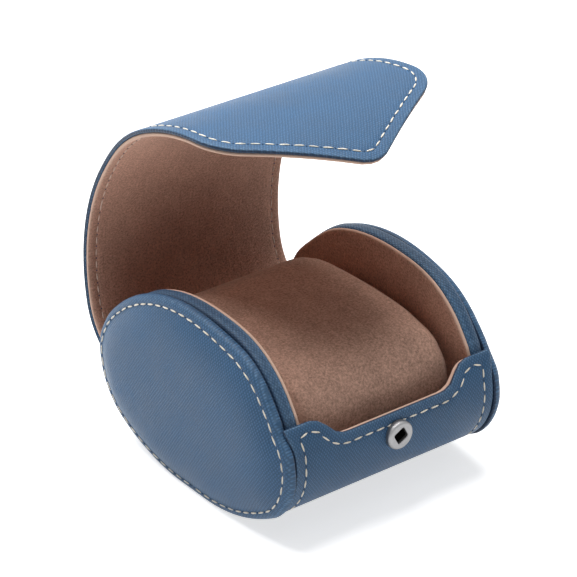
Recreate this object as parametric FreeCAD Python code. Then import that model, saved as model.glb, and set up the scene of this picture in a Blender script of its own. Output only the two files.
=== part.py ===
import FreeCAD, Part
import math
import os
from FreeCAD import Vector

# A single-place roll case in leather and suede, in millimetres.
# X runs along the roll, the snap and the lip are at -Y, the hinge is at +Y, +Z is up.
# The origin is the middle of the flat the case stands on. The lid is drawn half open.

# Roll section: a flat foot, two lower arcs, two side arcs and one top arc, all tangent.
# The side arc's radius, and how far its lowest point would clear the ground, are shares of the height.
CASE_DEPTH = 90.0
CASE_HEIGHT = 58.8
FOOT_WIDTH = 12.0
SIDE_SHARE = 0.3665
RISE_SHARE = 0.0899

# Layers
LEATHER = 1.2
LINING = 0.8
STIFFENER = 0.5
BODY_LEATHER = 1.5
BODY_BOARD = 1.0

# End plugs, from the cavity outwards
CAVITY_WIDTH = 60.0
END_LINING = 1.0
CORE_WIDTH = 4.5
BAND = 1.0
BAND_ROUND = 0.4
LINING_INSET = 0.4
BACKING = 0.7
RIM_START = 0.3
RIM_WIDTH = 2.6
RIM_ROUND = 1.6
RIM_ROLL = 0.3
END_LEATHER = 1.0
CROWN_INSET = 3.0
CROWN_HEIGHT = 2.6
CROWN_SHARE = 0.912
CROWN_STEPS = 5

# Wrap and lip: the lip's ends stand higher than its middle
WRAP_GAP = 0.2
LIP_RISE = 12.665
LIP_DIP = 6.0
LIP_HORN = 6.8
LIP_SLOPE = 12.0
LINING_SHY = 0.4

# Hinge at the back, below the widest line of the roll
HINGE_DROP = 5.235
HINGE_PROUD = 1.645
HINGE_STRIP = 3.0

# Lid profile when half open: a tight arc at the hinge and a wide arc to the tab.
# The wide arc's radius is a share of the reach from the hinge to the snap.
LID_RISE = 0.8
LID_TANGENT = 35.5
HEEL_EASE = 0.85
LID_HEEL_TURN = 44.3
LID_SHARE = 0.69336
LID_SIDE_GAP = 0.5
LID_START = 1.5
LID_BOARD_START = 8.0
FRONT_TURN = 21.155
STUD_TURN = 113.43
BEND_GAP = 0.7

# Pointed tab: its shoulders start before the stud and its point reaches past it
TAB_SHOULDER = 12.64
TAB_OVERHANG = 12.25
TAB_CORNER_ROUND = 8.0
TAB_POINT_ROUND = 8.0

# Closed pose: first guesses of the hinge's turn and the front bend's place along the wide arc
CLOSE_GUESS = 43.0
BEND_GUESS = 70.0
CLOSE_ROUNDS = 12
CLOSE_STEP = 0.01
SEAT_GAP = 0.3

# Snap fastener
SOCKET_RADIUS = 4.5
SOCKET_PROUD = 1.8
SOCKET_SINK = 0.5
SOCKET_BORE = 2.2
SOCKET_WALL = 0.7
SOCKET_ROUND = 0.6
EYELET_RADIUS = 4.4
EYELET = 0.6
EYELET_DEPTH = 4.0
STUD_BASE_RADIUS = 3.2
STUD_BASE = 0.5
STUD_HEAD_RADIUS = 1.8
STUD_NECK_RADIUS = 1.4
STUD_REACH = 3.0
STUD_HEAD = 1.4
STUD_POST_RADIUS = 0.9
STUD_PLATE_RADIUS = 3.5
STUD_PLATE = 0.35
FIT = 0.05

# Cushion: a smaller roll of the same kind, with room round it in the cavity
STRAP_GAP = 6.2
CUSHION_TOP_GAP = 11.4
CUSHION_END_GAP = 2.0
CUSHION_FOOT = 8.0
CUSHION_SIDE_SHARE = 0.3353
CUSHION_RISE_SHARE = 0.121
CUSHION_LIFT = 0.3
CUSHION_SKIN = 1.0
CUSHION_SEAM_INSET = 2.0
CUSHION_CROWN = 0.8
CUSHION_END_DRAW = 6.0
CUSHION_SEAM_DRAW = 2.2


class Oval:
    """A symmetric tangent-arc section in the YZ plane that can be offset."""

    def __init__(self, depth, height, foot, side_share, rise_share, base_z):
        self.foot = foot / 2
        self.base = base_z
        self.side_r = side_share * height
        self.side_y = depth / 2 - self.side_r
        self.side_z = self.side_r + rise_share * height
        run = self.side_y - self.foot
        self.lower_r = ((run ** 2 + self.side_z ** 2 - self.side_r ** 2)
                        / (2 * (self.side_z - self.side_r)))
        self.turn = math.atan2(run, self.lower_r - self.side_z)
        rise = height - self.side_z
        self.top_r = (self.side_y ** 2 + rise ** 2 - self.side_r ** 2) / (2 * (rise - self.side_r))
        self.top_z = height - self.top_r
        self.shoulder = math.atan2(self.side_z - self.top_z, self.side_y)

    def wire(self, off, x):
        """Closed outline, moved outwards by off, in the plane at x."""
        def at(cy, cz, radius, angle, side):
            y = side * (cy + (radius + off) * math.cos(angle))
            z = cz + (radius + off) * math.sin(angle)
            return Vector(x, y, self.base + z)

        down = -math.pi / 2
        lower = down + self.turn
        arcs = ((self.foot, self.lower_r, self.lower_r, down, lower),
                (self.side_y, self.side_z, self.side_r, lower, self.shoulder))
        edges = []
        for side in (1, -1):
            for cy, cz, radius, start, end in arcs:
                stops = [at(cy, cz, radius, angle, side) for angle in (start, (start + end) / 2, end)]
                edges.append(Part.Arc(*stops).toShape())
            edges.append(Part.Arc(at(0, self.top_z, self.top_r, self.shoulder, side),
                                  at(0, self.top_z, self.top_r, (self.shoulder + math.pi / 2) / 2, side),
                                  at(0, self.top_z, self.top_r, math.pi / 2, side)).toShape())
        foot = self.base - off
        edges.append(Part.makeLine(Vector(x, self.foot, foot), Vector(x, -self.foot, foot)))
        return Part.Wire(Part.__sortEdges__(edges))

    def slab(self, off, x_from, x_to):
        """Solid of the offset outline between two planes across X."""
        return Part.Face(self.wire(off, x_from)).extrude(Vector(x_to - x_from, 0, 0))


CASE = Oval(CASE_DEPTH, CASE_HEIGHT, FOOT_WIDTH, SIDE_SHARE, RISE_SHARE, 0)

# Planes across X, from the cavity outwards
CORE_X = CAVITY_WIDTH / 2 + END_LINING
DISC_X = CORE_X + CORE_WIDTH
RIM_X = DISC_X + RIM_START
FACE_X = RIM_X + RIM_WIDTH
WRAP_HALF = DISC_X - WRAP_GAP
LID_HALF = RIM_X - LID_SIDE_GAP
LID_T = LEATHER + STIFFENER + LINING
WRAP_T = BODY_LEATHER + BODY_BOARD + LINING
FAR = 2 * (CASE_DEPTH + CAVITY_WIDTH)


def halfspace_x(x_from, x_to):
    """Large block between two planes across X."""
    return Part.makeBox(x_to - x_from, 2 * FAR, 2 * FAR, Vector(x_from, -FAR, -FAR))


def mirrored(shape):
    return shape.mirror(Vector(0, 0, 0), Vector(1, 0, 0))


def edges_at_x(shape, x):
    """Edges of a shape that lie in the plane at x."""
    flat = []
    for edge in shape.Edges:
        box = edge.BoundBox
        if abs(box.XMin - x) < FIT and abs(box.XMax - x) < FIT:
            flat.append(edge)
    return flat


# End plugs: the crown rises over a share of what is left inside the seam before the section closes up

CROWN_RUN = CROWN_SHARE * (CASE.side_r - CROWN_INSET - END_LEATHER)


def crowned_disc(inset, x_from, x_face):
    """Padded disc: a rounded rim and a crown that rises inside the stitch line."""
    disc = CASE.slab(-inset, x_from, x_face)
    disc = disc.makeFillet(RIM_ROUND, edges_at_x(disc, x_face))
    wires = [CASE.wire(-inset - CROWN_INSET, x_face - FIT)]
    for step in range(1, CROWN_STEPS + 1):
        swing = math.pi / 2 * step / CROWN_STEPS
        off = -inset - CROWN_INSET - CROWN_RUN * (1 - math.cos(swing))
        wires.append(CASE.wire(off, x_face + CROWN_HEIGHT * math.sin(swing)))
    crown = Part.makeLoft(wires, True, True)
    return disc.fuse(crown).removeSplitter()


def end_plug():
    """The six pieces of the +X end, from the cavity outwards."""
    core_off = -BODY_LEATHER - BAND
    lining = CASE.slab(-BODY_LEATHER - LINING_INSET, CAVITY_WIDTH / 2, CORE_X)
    core = CASE.slab(core_off, CORE_X, DISC_X)
    band = CASE.slab(-BODY_LEATHER, CORE_X, DISC_X)
    rounded = edges_at_x(band, CORE_X) + edges_at_x(band, DISC_X)
    band = band.makeFillet(BAND_ROUND, rounded).cut(core)
    backing = CASE.slab(-END_LEATHER, DISC_X, DISC_X + BACKING)
    outer = crowned_disc(0, RIM_X, FACE_X)
    outer = outer.makeFillet(RIM_ROLL, edges_at_x(outer, RIM_X))
    inner = crowned_disc(END_LEATHER, DISC_X, FACE_X - END_LEATHER)
    pad = inner.common(halfspace_x(DISC_X + BACKING, FAR))
    return {"end_lining": lining, "end_core": core, "rim_band": band,
            "end_backing": backing, "end_pad": pad, "end_leather": outer.cut(inner)}


# Body wrap


def lip_cutter(drop):
    """Everything above the scalloped lip, lowered by drop, in front of the roll's middle."""
    turn = 2 * math.atan2(LIP_DIP, LIP_SLOPE)
    radius = LIP_SLOPE / (2 * math.sin(turn))
    top = CASE.side_z + LIP_RISE - drop
    low = top - LIP_DIP
    out_x = WRAP_HALF - LIP_HORN
    in_x = out_x - LIP_SLOPE
    mid_x = (in_x + out_x) / 2
    far_x = FAR
    half = turn / 2

    def at(x, z):
        return Vector(x, -CASE_DEPTH, z)

    edges = [Part.makeLine(at(-in_x, low), at(in_x, low))]
    for side in (1, -1):
        lower = at(side * (in_x + radius * math.sin(half)), low + radius * (1 - math.cos(half)))
        upper = at(side * (out_x - radius * math.sin(half)), top - radius * (1 - math.cos(half)))
        middle = at(side * mid_x, (low + top) / 2)
        edges.append(Part.Arc(at(side * in_x, low), lower, middle).toShape())
        edges.append(Part.Arc(middle, upper, at(side * out_x, top)).toShape())
        edges.append(Part.makeLine(at(side * out_x, top), at(side * far_x, top)))
        edges.append(Part.makeLine(at(side * far_x, top), at(side * far_x, FAR)))
    edges.append(Part.makeLine(at(-far_x, FAR), at(far_x, FAR)))
    outline = Part.Wire(Part.__sortEdges__(edges))
    return Part.Face(outline).extrude(Vector(0, CASE_DEPTH, 0))


HINGE_BACK = CASE.side_y + math.sqrt(CASE.side_r ** 2 - HINGE_DROP ** 2)
HINGE = (HINGE_BACK + HINGE_PROUD, CASE.side_z - HINGE_DROP)


def wrap_layer(outer, inner, half_width, drop):
    """Layer of the wrap from the lip under the roll to the hinge, between two offsets."""
    ring = CASE.slab(outer, -half_width, half_width).cut(CASE.slab(inner, -half_width, half_width))
    back = Part.makeBox(2 * FAR, FAR, FAR, Vector(-FAR, 0, HINGE[1] - HINGE_STRIP))
    return ring.cut(lip_cutter(drop)).cut(back)


def snap_axis_solid(profile):
    """Solid of revolution about the snap's axis from (radius, height above the lip) corners."""
    corners = [Vector(r, -CASE_DEPTH / 2 - h, CASE.side_z) for r, h in profile]
    outline = Part.makePolygon(corners + corners[:1])
    return Part.Face(outline).revolve(Vector(0, 0, CASE.side_z), Vector(0, 1, 0), 360)


def snap_cylinder(radius, low, high):
    """Cylinder on the snap's axis between two heights above the lip."""
    start = Vector(0, -CASE_DEPTH / 2 - low, CASE.side_z)
    return Part.makeCylinder(radius, high - low, start, Vector(0, -1, 0))


SOCKET_BARREL = SOCKET_BORE + SOCKET_WALL
EYELET_LOW = -EYELET_DEPTH - EYELET


def snap_socket():
    """Ring flange with a barrel that runs through the lip."""
    socket = snap_axis_solid([(SOCKET_BORE, EYELET_LOW), (SOCKET_BARREL, EYELET_LOW),
                              (SOCKET_BARREL, -SOCKET_SINK), (SOCKET_RADIUS, -SOCKET_SINK),
                              (SOCKET_RADIUS, SOCKET_PROUD), (SOCKET_BORE, SOCKET_PROUD)])
    crest_y = -CASE_DEPTH / 2 - SOCKET_PROUD
    crest = [e for e in socket.Edges if abs(e.BoundBox.YMin - crest_y) < FIT and e.BoundBox.YLength < FIT]
    return socket.makeFillet(SOCKET_ROUND, crest)


def snap_eyelet():
    """Washer clenched on the barrel's inner end."""
    return snap_axis_solid([(SOCKET_BARREL, EYELET_LOW), (EYELET_RADIUS, EYELET_LOW),
                            (EYELET_RADIUS, -EYELET_DEPTH), (SOCKET_BARREL, -EYELET_DEPTH)])


def body_wrap():
    """The three layers of the wrap, pierced for the snap's barrel."""
    plug_half = CAVITY_WIDTH / 2 - WRAP_GAP
    board = -BODY_LEATHER - BODY_BOARD
    barrel = snap_cylinder(SOCKET_BARREL + FIT, -WRAP_T - LEATHER, SOCKET_PROUD)
    seat = snap_cylinder(SOCKET_RADIUS + FIT, -SOCKET_SINK, SOCKET_PROUD)
    return {"body_leather": wrap_layer(0, -BODY_LEATHER, WRAP_HALF, 0).cut(barrel).cut(seat),
            "body_board": wrap_layer(-BODY_LEATHER, board, plug_half, LINING_SHY).cut(barrel),
            "body_lining": wrap_layer(board, -WRAP_T, plug_half, LINING_SHY).cut(barrel)}


# Lid, drawn along its outer face from the hinge to the tab's point

STUD_SPOT = (-CASE_DEPTH / 2 - SOCKET_PROUD - STUD_BASE - SEAT_GAP, CASE.side_z)
LID_RADIUS = LID_SHARE * math.dist(HINGE, STUD_SPOT)
LID_HEEL_RADIUS = CASE.side_r + HEEL_EASE
HEEL_T = math.radians(LID_TANGENT)
CREST_T = HEEL_T + math.radians(LID_HEEL_TURN)
HEEL_LENGTH = LID_HEEL_RADIUS * math.radians(LID_HEEL_TURN)
FRONT_LENGTH = LID_RADIUS * math.radians(FRONT_TURN)
STUD_AT = HEEL_LENGTH + LID_RADIUS * math.radians(STUD_TURN)


def left_of(point, tangent, distance):
    """Point at a distance to the left of a direction, in the YZ plane."""
    return (point[0] - distance * math.sin(tangent), point[1] + distance * math.cos(tangent))


LID_FOOT = (HINGE[0] + LID_RISE, HINGE[1] + LID_RISE)
HEEL_CENTRE = left_of(LID_FOOT, HEEL_T, LID_HEEL_RADIUS)
CREST_CENTRE = left_of(left_of(HEEL_CENTRE, CREST_T, -LID_HEEL_RADIUS), CREST_T, LID_RADIUS)


def lid_point(along, depth):
    """(Y, Z) at a length along the lid's outer face and a depth into its thickness."""
    if along <= HEEL_LENGTH:
        return left_of(HEEL_CENTRE, HEEL_T + along / LID_HEEL_RADIUS, depth - LID_HEEL_RADIUS)
    tangent = CREST_T + (along - HEEL_LENGTH) / LID_RADIUS
    return left_of(CREST_CENTRE, tangent, depth - LID_RADIUS)


def turned(point, centre, degrees):
    """(Y, Z) point turned about a centre, from Y towards Z."""
    angle = math.radians(degrees)
    y = point[0] - centre[0]
    z = point[1] - centre[1]
    return (centre[0] + y * math.cos(angle) - z * math.sin(angle),
            centre[1] + y * math.sin(angle) + z * math.cos(angle))


def seat_miss(lid_turn, bend_at):
    """How far the stud's seat lies from its spot on the closed case, when the tab is square to it."""
    bend = squaring_bend(lid_turn)
    seat = turned(lid_point(STUD_AT, LID_T), lid_point(bend_at + FRONT_LENGTH, LID_T), bend)
    seat = turned(turned(seat, lid_point(bend_at, LID_T), bend), HINGE, lid_turn)
    return seat[0] - STUD_SPOT[0], seat[1] - STUD_SPOT[1]


def squaring_bend(lid_turn):
    """Turn of each of the two bends that leaves the tab upright at the stud."""
    return (270 - math.degrees(CREST_T) - STUD_TURN - lid_turn) / 2


def close_lid():
    """Turn of the lid and place of the front bend that bring the stud to its spot, by Newton's method."""
    lid_turn = CLOSE_GUESS
    bend_at = HEEL_LENGTH + LID_RADIUS * math.radians(BEND_GUESS)
    for _ in range(CLOSE_ROUNDS):
        y, z = seat_miss(lid_turn, bend_at)
        by_turn = [(b - a) / CLOSE_STEP for a, b in zip((y, z), seat_miss(lid_turn + CLOSE_STEP, bend_at))]
        by_place = [(b - a) / CLOSE_STEP for a, b in zip((y, z), seat_miss(lid_turn, bend_at + CLOSE_STEP))]
        scale = by_turn[0] * by_place[1] - by_turn[1] * by_place[0]
        lid_turn -= (y * by_place[1] - z * by_place[0]) / scale
        bend_at -= (z * by_turn[0] - y * by_turn[1]) / scale
    return lid_turn, bend_at


LID_CLOSE, FRONT_BEND_AT = close_lid()
TAB_BEND_AT = FRONT_BEND_AT + FRONT_LENGTH
FRONT_AXIS = lid_point(FRONT_BEND_AT, LID_T)
TAB_AXIS = lid_point(TAB_BEND_AT, LID_T)
TAB_END = STUD_AT + TAB_OVERHANG
TAB_CORNER_Y = lid_point(STUD_AT - TAB_SHOULDER, 0)[0]
TAB_POINT_Y = lid_point(TAB_END, 0)[0]


def lid_edges(start, end, depth, x):
    """Arcs along the lid at one depth."""
    stops = [start, end]
    if start < HEEL_LENGTH < end:
        stops.insert(1, HEEL_LENGTH)
    edges = []
    for first, last in zip(stops, stops[1:]):
        marks = [lid_point(along, depth) for along in (first, (first + last) / 2, last)]
        edges.append(Part.Arc(*[Vector(x, y, z) for y, z in marks]).toShape())
    return edges


def lid_layer(start, end, depth, thickness):
    """Sheet of the lid between two lengths and two depths, over the lid's whole width."""
    x = -LID_HALF
    edges = lid_edges(start, end, depth, x) + lid_edges(start, end, depth + thickness, x)
    for along in (start, end):
        near = lid_point(along, depth)
        deep = lid_point(along, depth + thickness)
        edges.append(Part.makeLine(Vector(x, *near), Vector(x, *deep)))
    outline = Part.Wire(Part.__sortEdges__(edges))
    return Part.Face(outline).extrude(Vector(2 * LID_HALF, 0, 0))


def tab_plan():
    """Upright prism with the tab's pointed outline."""
    back_y = CASE_DEPTH / 2
    corners = [(-LID_HALF, back_y), (LID_HALF, back_y), (LID_HALF, TAB_CORNER_Y),
               (0, TAB_POINT_Y), (-LID_HALF, TAB_CORNER_Y)]
    points = [Vector(x, y, 0) for x, y in corners]
    prism = Part.Face(Part.makePolygon(points + points[:1])).extrude(Vector(0, 0, 2 * FAR))
    for y, radius in ((TAB_CORNER_Y, TAB_CORNER_ROUND), (TAB_POINT_Y, TAB_POINT_ROUND)):
        upright = []
        for edge in prism.Edges:
            box = edge.BoundBox
            if box.ZLength > FAR and abs(box.YMin - y) < FIT:
                upright.append(edge)
        prism = prism.makeFillet(radius, upright)
    return prism


LAYERS = (("leather", 0, LEATHER), ("board", LEATHER, STIFFENER), ("lining", LEATHER + STIFFENER, LINING))


def lid_sheets():
    """Leather, board and lining of the lid, its bending front and its pointed tab."""
    half_gap = BEND_GAP / 2
    spans = {"lid": (LID_START, FRONT_BEND_AT - half_gap),
             "front": (FRONT_BEND_AT + half_gap, TAB_BEND_AT - half_gap),
             "tab": (TAB_BEND_AT + half_gap, TAB_END)}
    sheets = {}
    for part, (start, end) in spans.items():
        for layer, depth, thickness in LAYERS:
            first = LID_BOARD_START if part == "lid" and depth > 0 else start
            sheets[part + "_" + layer] = lid_layer(first, end, depth, thickness)
    plan = tab_plan()
    for name in [name for name in sheets if name.startswith("tab_")]:
        sheets[name] = sheets[name].common(plan)
    return sheets


def hinge_strip():
    """Bending strip of leather from the top of the wrap's back to the foot of the lid."""
    depth = HINGE_DROP + HINGE_STRIP
    low = []
    for off in (0, -LEATHER):
        radius = CASE.side_r + off
        low.append((CASE.side_y + math.sqrt(radius ** 2 - depth ** 2), CASE.side_z - depth))
    high = [lid_point(LID_START - FIT, depth) for depth in (0, LEATHER)]
    corners = [Vector(-LID_HALF, *point) for point in (low[0], high[0], high[1], low[1])]
    outline = Part.makePolygon(corners + corners[:1])
    return Part.Face(outline).extrude(Vector(2 * LID_HALF, 0, 0))


# Stud: square to the tab's inner face


def stud_cylinder(radius, low, high):
    """Cylinder on the stud's axis between two heights above the tab's inner face."""
    seat = Vector(0, *lid_point(STUD_AT, LID_T))
    aim = (seat - Vector(0, *lid_point(STUD_AT, 0))).normalize()
    return Part.makeCylinder(radius, high - low, seat + aim * low, aim)


def snap_stud():
    """Stud with a flat base, a neck and a rounded head, and a post through the lining."""
    head = stud_cylinder(STUD_HEAD_RADIUS, STUD_REACH - STUD_HEAD, STUD_REACH)
    head = head.makeFillet(STUD_HEAD / 3, [e for e in head.Edges if e.Closed])
    stud = stud_cylinder(STUD_BASE_RADIUS, 0, STUD_BASE)
    stud = stud.fuse(stud_cylinder(STUD_NECK_RADIUS, 0, STUD_REACH - STUD_HEAD / 2)).fuse(head)
    return stud.fuse(stud_cylinder(STUD_POST_RADIUS, -LINING, 0)).removeSplitter()


def seat_stud(sheets):
    """Pierce the tab for the stud's post and pocket its board for the plate. Returns the plate."""
    sheets["tab_lining"] = sheets["tab_lining"].cut(stud_cylinder(STUD_POST_RADIUS + FIT, -LID_T, STUD_BASE))
    base = stud_cylinder(STUD_BASE_RADIUS + FIT, 0, STUD_BASE)
    sheets["tab_lining"] = sheets["tab_lining"].cut(base)
    pocket = stud_cylinder(STUD_PLATE_RADIUS + FIT, -LINING - STIFFENER - FIT, -LINING + STIFFENER)
    sheets["tab_board"] = sheets["tab_board"].cut(pocket)
    return stud_cylinder(STUD_PLATE_RADIUS, -LINING - STUD_PLATE, -LINING)


# Cushion

CUSHION_DEPTH = CASE_DEPTH - 2 * (WRAP_T + STRAP_GAP)
CUSHION_HEIGHT = CASE_HEIGHT - WRAP_T - CUSHION_LIFT - CUSHION_TOP_GAP
CUSHION_LENGTH = CAVITY_WIDTH - 2 * CUSHION_END_GAP


def cushion_roll(inset):
    """Stuffed roll: fullest in the middle, drawn in at its end seams and rounded off."""
    roll = Oval(CUSHION_DEPTH, CUSHION_HEIGHT, CUSHION_FOOT, CUSHION_SIDE_SHARE,
                CUSHION_RISE_SHARE, WRAP_T + CUSHION_LIFT)
    end = CUSHION_LENGTH / 2 - inset
    seam = CUSHION_LENGTH / 2 - CUSHION_SEAM_INSET - inset
    stations = ((end, -CUSHION_END_DRAW), (seam, -CUSHION_SEAM_DRAW), (seam / 2, -CUSHION_CROWN / 4))
    stations += ((0, 0),)
    stations += tuple((-x, off) for x, off in reversed(stations[:-1]))
    wires = [roll.wire(off - inset, x) for x, off in stations]
    return Part.makeLoft(wires, True, True)


def cushion():
    """Foam core, suede cover and the two end panels of the cover."""
    core = cushion_roll(CUSHION_SKIN)
    cover = cushion_roll(0).cut(core)
    seam = CUSHION_LENGTH / 2 - CUSHION_SEAM_INSET
    return {"cushion_core": core, "cushion_cover": cover.common(halfspace_x(-seam, seam)),
            "cushion_left_end": cover.common(halfspace_x(-FAR, -seam)),
            "cushion_right_end": cover.common(halfspace_x(seam, FAR))}


# Export, one file for each piece


def build():
    pieces = {}
    for name, shape in end_plug().items():
        pieces["right_" + name] = shape
        pieces["left_" + name] = mirrored(shape)
    pieces.update(body_wrap())
    pieces["hinge_strip"] = hinge_strip()
    pieces["snap_socket"] = snap_socket()
    pieces["snap_eyelet"] = snap_eyelet()
    sheets = lid_sheets()
    pieces["snap_plate"] = seat_stud(sheets)
    pieces["snap_stud"] = snap_stud()
    pieces.update(sheets)
    pieces.update(cushion())
    return pieces


os.makedirs("parts", exist_ok=True)
for node, piece in sorted(build().items()):
    piece.exportStep("parts/" + node + ".step")
    box = piece.optimalBoundingBox()
    print(node, len(piece.Solids), "valid" if piece.isValid() else "NOT VALID", round(piece.Volume, 1),
          [round(v, 2) for v in (box.XMin, box.XMax, box.YMin, box.YMax, box.ZMin, box.ZMax)])
print("hinge axis", HINGE, "front bend axis", FRONT_AXIS, "tab bend axis", TAB_AXIS)
print("closed at lid turn", LID_CLOSE, "and bends of", squaring_bend(LID_CLOSE))
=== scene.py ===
# %% [markdown]
# # A small roll case in blue leather
# The case is a short oval roll. Two padded discs close its ends, one long piece of leather wraps
# round from the front lip, under the roll and up the back, and goes on as the lid with its pointed
# tab. Inside lies a suede cushion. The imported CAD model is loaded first, because every piece made
# here has to sit where its solid sits and move with the same body.

# %% Load the frame
import math

import bmesh
import bpy
import numpy as np
from mathutils import Matrix, Vector


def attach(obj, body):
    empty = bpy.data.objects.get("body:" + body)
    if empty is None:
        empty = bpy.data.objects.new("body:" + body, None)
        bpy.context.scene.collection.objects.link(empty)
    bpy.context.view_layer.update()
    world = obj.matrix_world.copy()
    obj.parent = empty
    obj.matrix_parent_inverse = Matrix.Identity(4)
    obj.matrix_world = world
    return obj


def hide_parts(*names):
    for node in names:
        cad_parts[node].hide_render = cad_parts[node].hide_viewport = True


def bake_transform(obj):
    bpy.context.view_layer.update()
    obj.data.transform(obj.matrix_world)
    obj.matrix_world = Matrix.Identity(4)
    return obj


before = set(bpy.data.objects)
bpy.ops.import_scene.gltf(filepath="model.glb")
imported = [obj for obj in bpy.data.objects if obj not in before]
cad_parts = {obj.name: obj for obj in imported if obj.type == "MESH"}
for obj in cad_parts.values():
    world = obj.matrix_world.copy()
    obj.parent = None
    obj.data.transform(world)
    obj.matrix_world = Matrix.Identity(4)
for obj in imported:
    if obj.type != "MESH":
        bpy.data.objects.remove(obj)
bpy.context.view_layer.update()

MM = 0.001
scene = bpy.context.scene
scene.view_settings.view_transform = "Standard"


def place_object(name, data):
    """A new object in the scene."""
    made = bpy.data.objects.new(name, data)
    scene.collection.objects.link(made)
    return made


# %% [markdown]
# ## The camera
# A long lens from the left and above. Its place was worked out by laying the outlines of both oval
# ends over the picture until they met, so the frame of the render is the frame of the picture.

# %% Camera
AZIMUTH, ELEVATION = math.radians(-37.69), math.radians(28.74)
FOCAL_PIXELS, FRAME_PIXELS, SENSOR = 2926.1, 577, 36.0
CAMERA_PLACE = (-2.727, 46.589, 854.64)

right = Vector((math.cos(AZIMUTH), math.sin(AZIMUTH), 0))
back = Vector((math.sin(AZIMUTH) * math.cos(ELEVATION), -math.cos(AZIMUTH) * math.cos(ELEVATION),
               math.sin(ELEVATION)))
up = back.cross(right)
place = (right * CAMERA_PLACE[0] + up * CAMERA_PLACE[1] + back * CAMERA_PLACE[2]) * MM
camera = place_object("camera", bpy.data.cameras.new("camera"))
camera.data.sensor_width = SENSOR
camera.data.lens = FOCAL_PIXELS / FRAME_PIXELS * SENSOR
camera.matrix_world = Matrix.Translation(place) @ Matrix((right, up, back)).transposed().to_4x4()
scene.camera = camera
print("camera at", [round(v, 3) for v in place], "lens", round(camera.data.lens, 1))

# %% [markdown]
# ## Helpers for node trees
# The floor, the finishes and the stitches are all made of nodes. A few functions add a node with
# its inputs set or joined, so that each tree below reads as a list of what it does.

# %% Node helpers
FLOAT, VECTOR, COLOUR = "NodeSocketFloat", "NodeSocketVector", "NodeSocketColor"
WHITE = (1, 1, 1, 1)


def fill_in(tree, node, inputs):
    """Sets a node's inputs to values, or joins them to other nodes' outputs."""
    for key, value in inputs.items():
        if isinstance(value, bpy.types.NodeSocket):
            tree.links.new(value, node.inputs[key])
        else:
            node.inputs[key].default_value = value
    return node


def add(tree, kind, inputs=None, **settings):
    """A new node with its settings and inputs."""
    node = tree.nodes.new(kind)
    for key, value in settings.items():
        setattr(node, key, value)
    return fill_in(tree, node, inputs or {})


def math_node(tree, operation, first, second=0.0, third=0.0):
    """Result of a sum. Only MULTIPLY_ADD reads the third value."""
    inputs = {0: first, 1: second, 2: third}
    return add(tree, "ShaderNodeMath", inputs, operation=operation).outputs[0]


def vector_node(tree, operation, first, second):
    inputs = {0: first, 1: second}
    return add(tree, "ShaderNodeVectorMath", inputs, operation=operation).outputs[0]


def scaled(tree, vector, factor):
    """A vector or a colour times a number."""
    inputs = {0: vector, "Scale": factor}
    return add(tree, "ShaderNodeVectorMath", inputs, operation="SCALE").outputs[0]


def mix(tree, factor, first, second, kind="RGBA"):
    inputs = {"Factor": factor, "A": first, "B": second}
    return add(tree, "ShaderNodeMix", inputs, data_type=kind).outputs["Result"]


def ramp(tree, value, low, high):
    """Value stretched from low..high to 0..1 and clamped."""
    inputs = {"Value": value, "From Min": low, "From Max": high}
    return add(tree, "ShaderNodeMapRange", inputs).outputs["Result"]


def noise(tree, spot, scale, detail, roughness=0.5):
    inputs = {"Vector": spot, "Scale": scale, "Detail": detail, "Roughness": roughness}
    return add(tree, "ShaderNodeTexNoise", inputs).outputs


def group(name, inputs, outputs, kind="ShaderNodeTree"):
    """An empty node group: its tree, the sockets to read and the node that takes the results."""
    tree = bpy.data.node_groups.new(name, kind)
    for way, sockets in (("INPUT", inputs), ("OUTPUT", outputs)):
        for title, socket in sockets.items():
            tree.interface.new_socket(title, in_out=way, socket_type=socket)
    return tree, tree.nodes.new("NodeGroupInput").outputs, tree.nodes.new("NodeGroupOutput")


def finish(name):
    """A new material and its node tree."""
    material = bpy.data.materials.new(name)
    material.use_nodes = True
    return material, material.node_tree


print("node helpers ready")

# %% [markdown]
# ## Floor and light
# The floor and the world are pale. What the camera sees of them is lifted to white with Is Camera
# Ray, so the lamps need not be brighter than the leather wants, and the floor keeps its shadow.
# The widest lamp hangs above and a little behind, a weak one stands low behind the left end, and
# another fills the front from the right.

# %% Floor, world and lamps
WORLD_LIGHT = (0.055, 0.056, 0.058, 1)
FLOOR_HALF, FLOOR_PALE, FLOOR_ROUGH, FLOOR_LIFT = 3.0, (0.86, 0.86, 0.86, 1), 0.9, 0.68


def seen(tree):
    """One where the ray comes from the camera, a mirror or glass."""
    path = add(tree, "ShaderNodeLightPath").outputs
    either = math_node(tree, "MAXIMUM", path["Is Camera Ray"], path["Is Glossy Ray"])
    return math_node(tree, "MAXIMUM", either, path["Is Transmission Ray"])


world = bpy.data.worlds.new("studio")
scene.world = world
world.use_nodes = True
sky = world.node_tree
fill_in(sky, sky.nodes["Background"], {"Color": mix(sky, seen(sky), WORLD_LIGHT, WHITE)})

floor_mesh = bpy.data.meshes.new("floor")
corners = [(x * FLOOR_HALF, y * FLOOR_HALF, 0) for x, y in ((-1, -1), (1, -1), (1, 1), (-1, 1))]
floor_mesh.from_pydata(corners, [], [(0, 1, 2, 3)])
floor = place_object("floor", floor_mesh)
floor_paint, paint = finish("pale_floor")
fill_in(paint, paint.nodes["Principled BSDF"],
        {"Base Color": FLOOR_PALE, "Roughness": FLOOR_ROUGH, "Emission Color": WHITE,
         "Emission Strength": math_node(paint, "MULTIPLY", seen(paint), FLOOR_LIFT)})
floor_mesh.materials.append(floor_paint)

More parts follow.
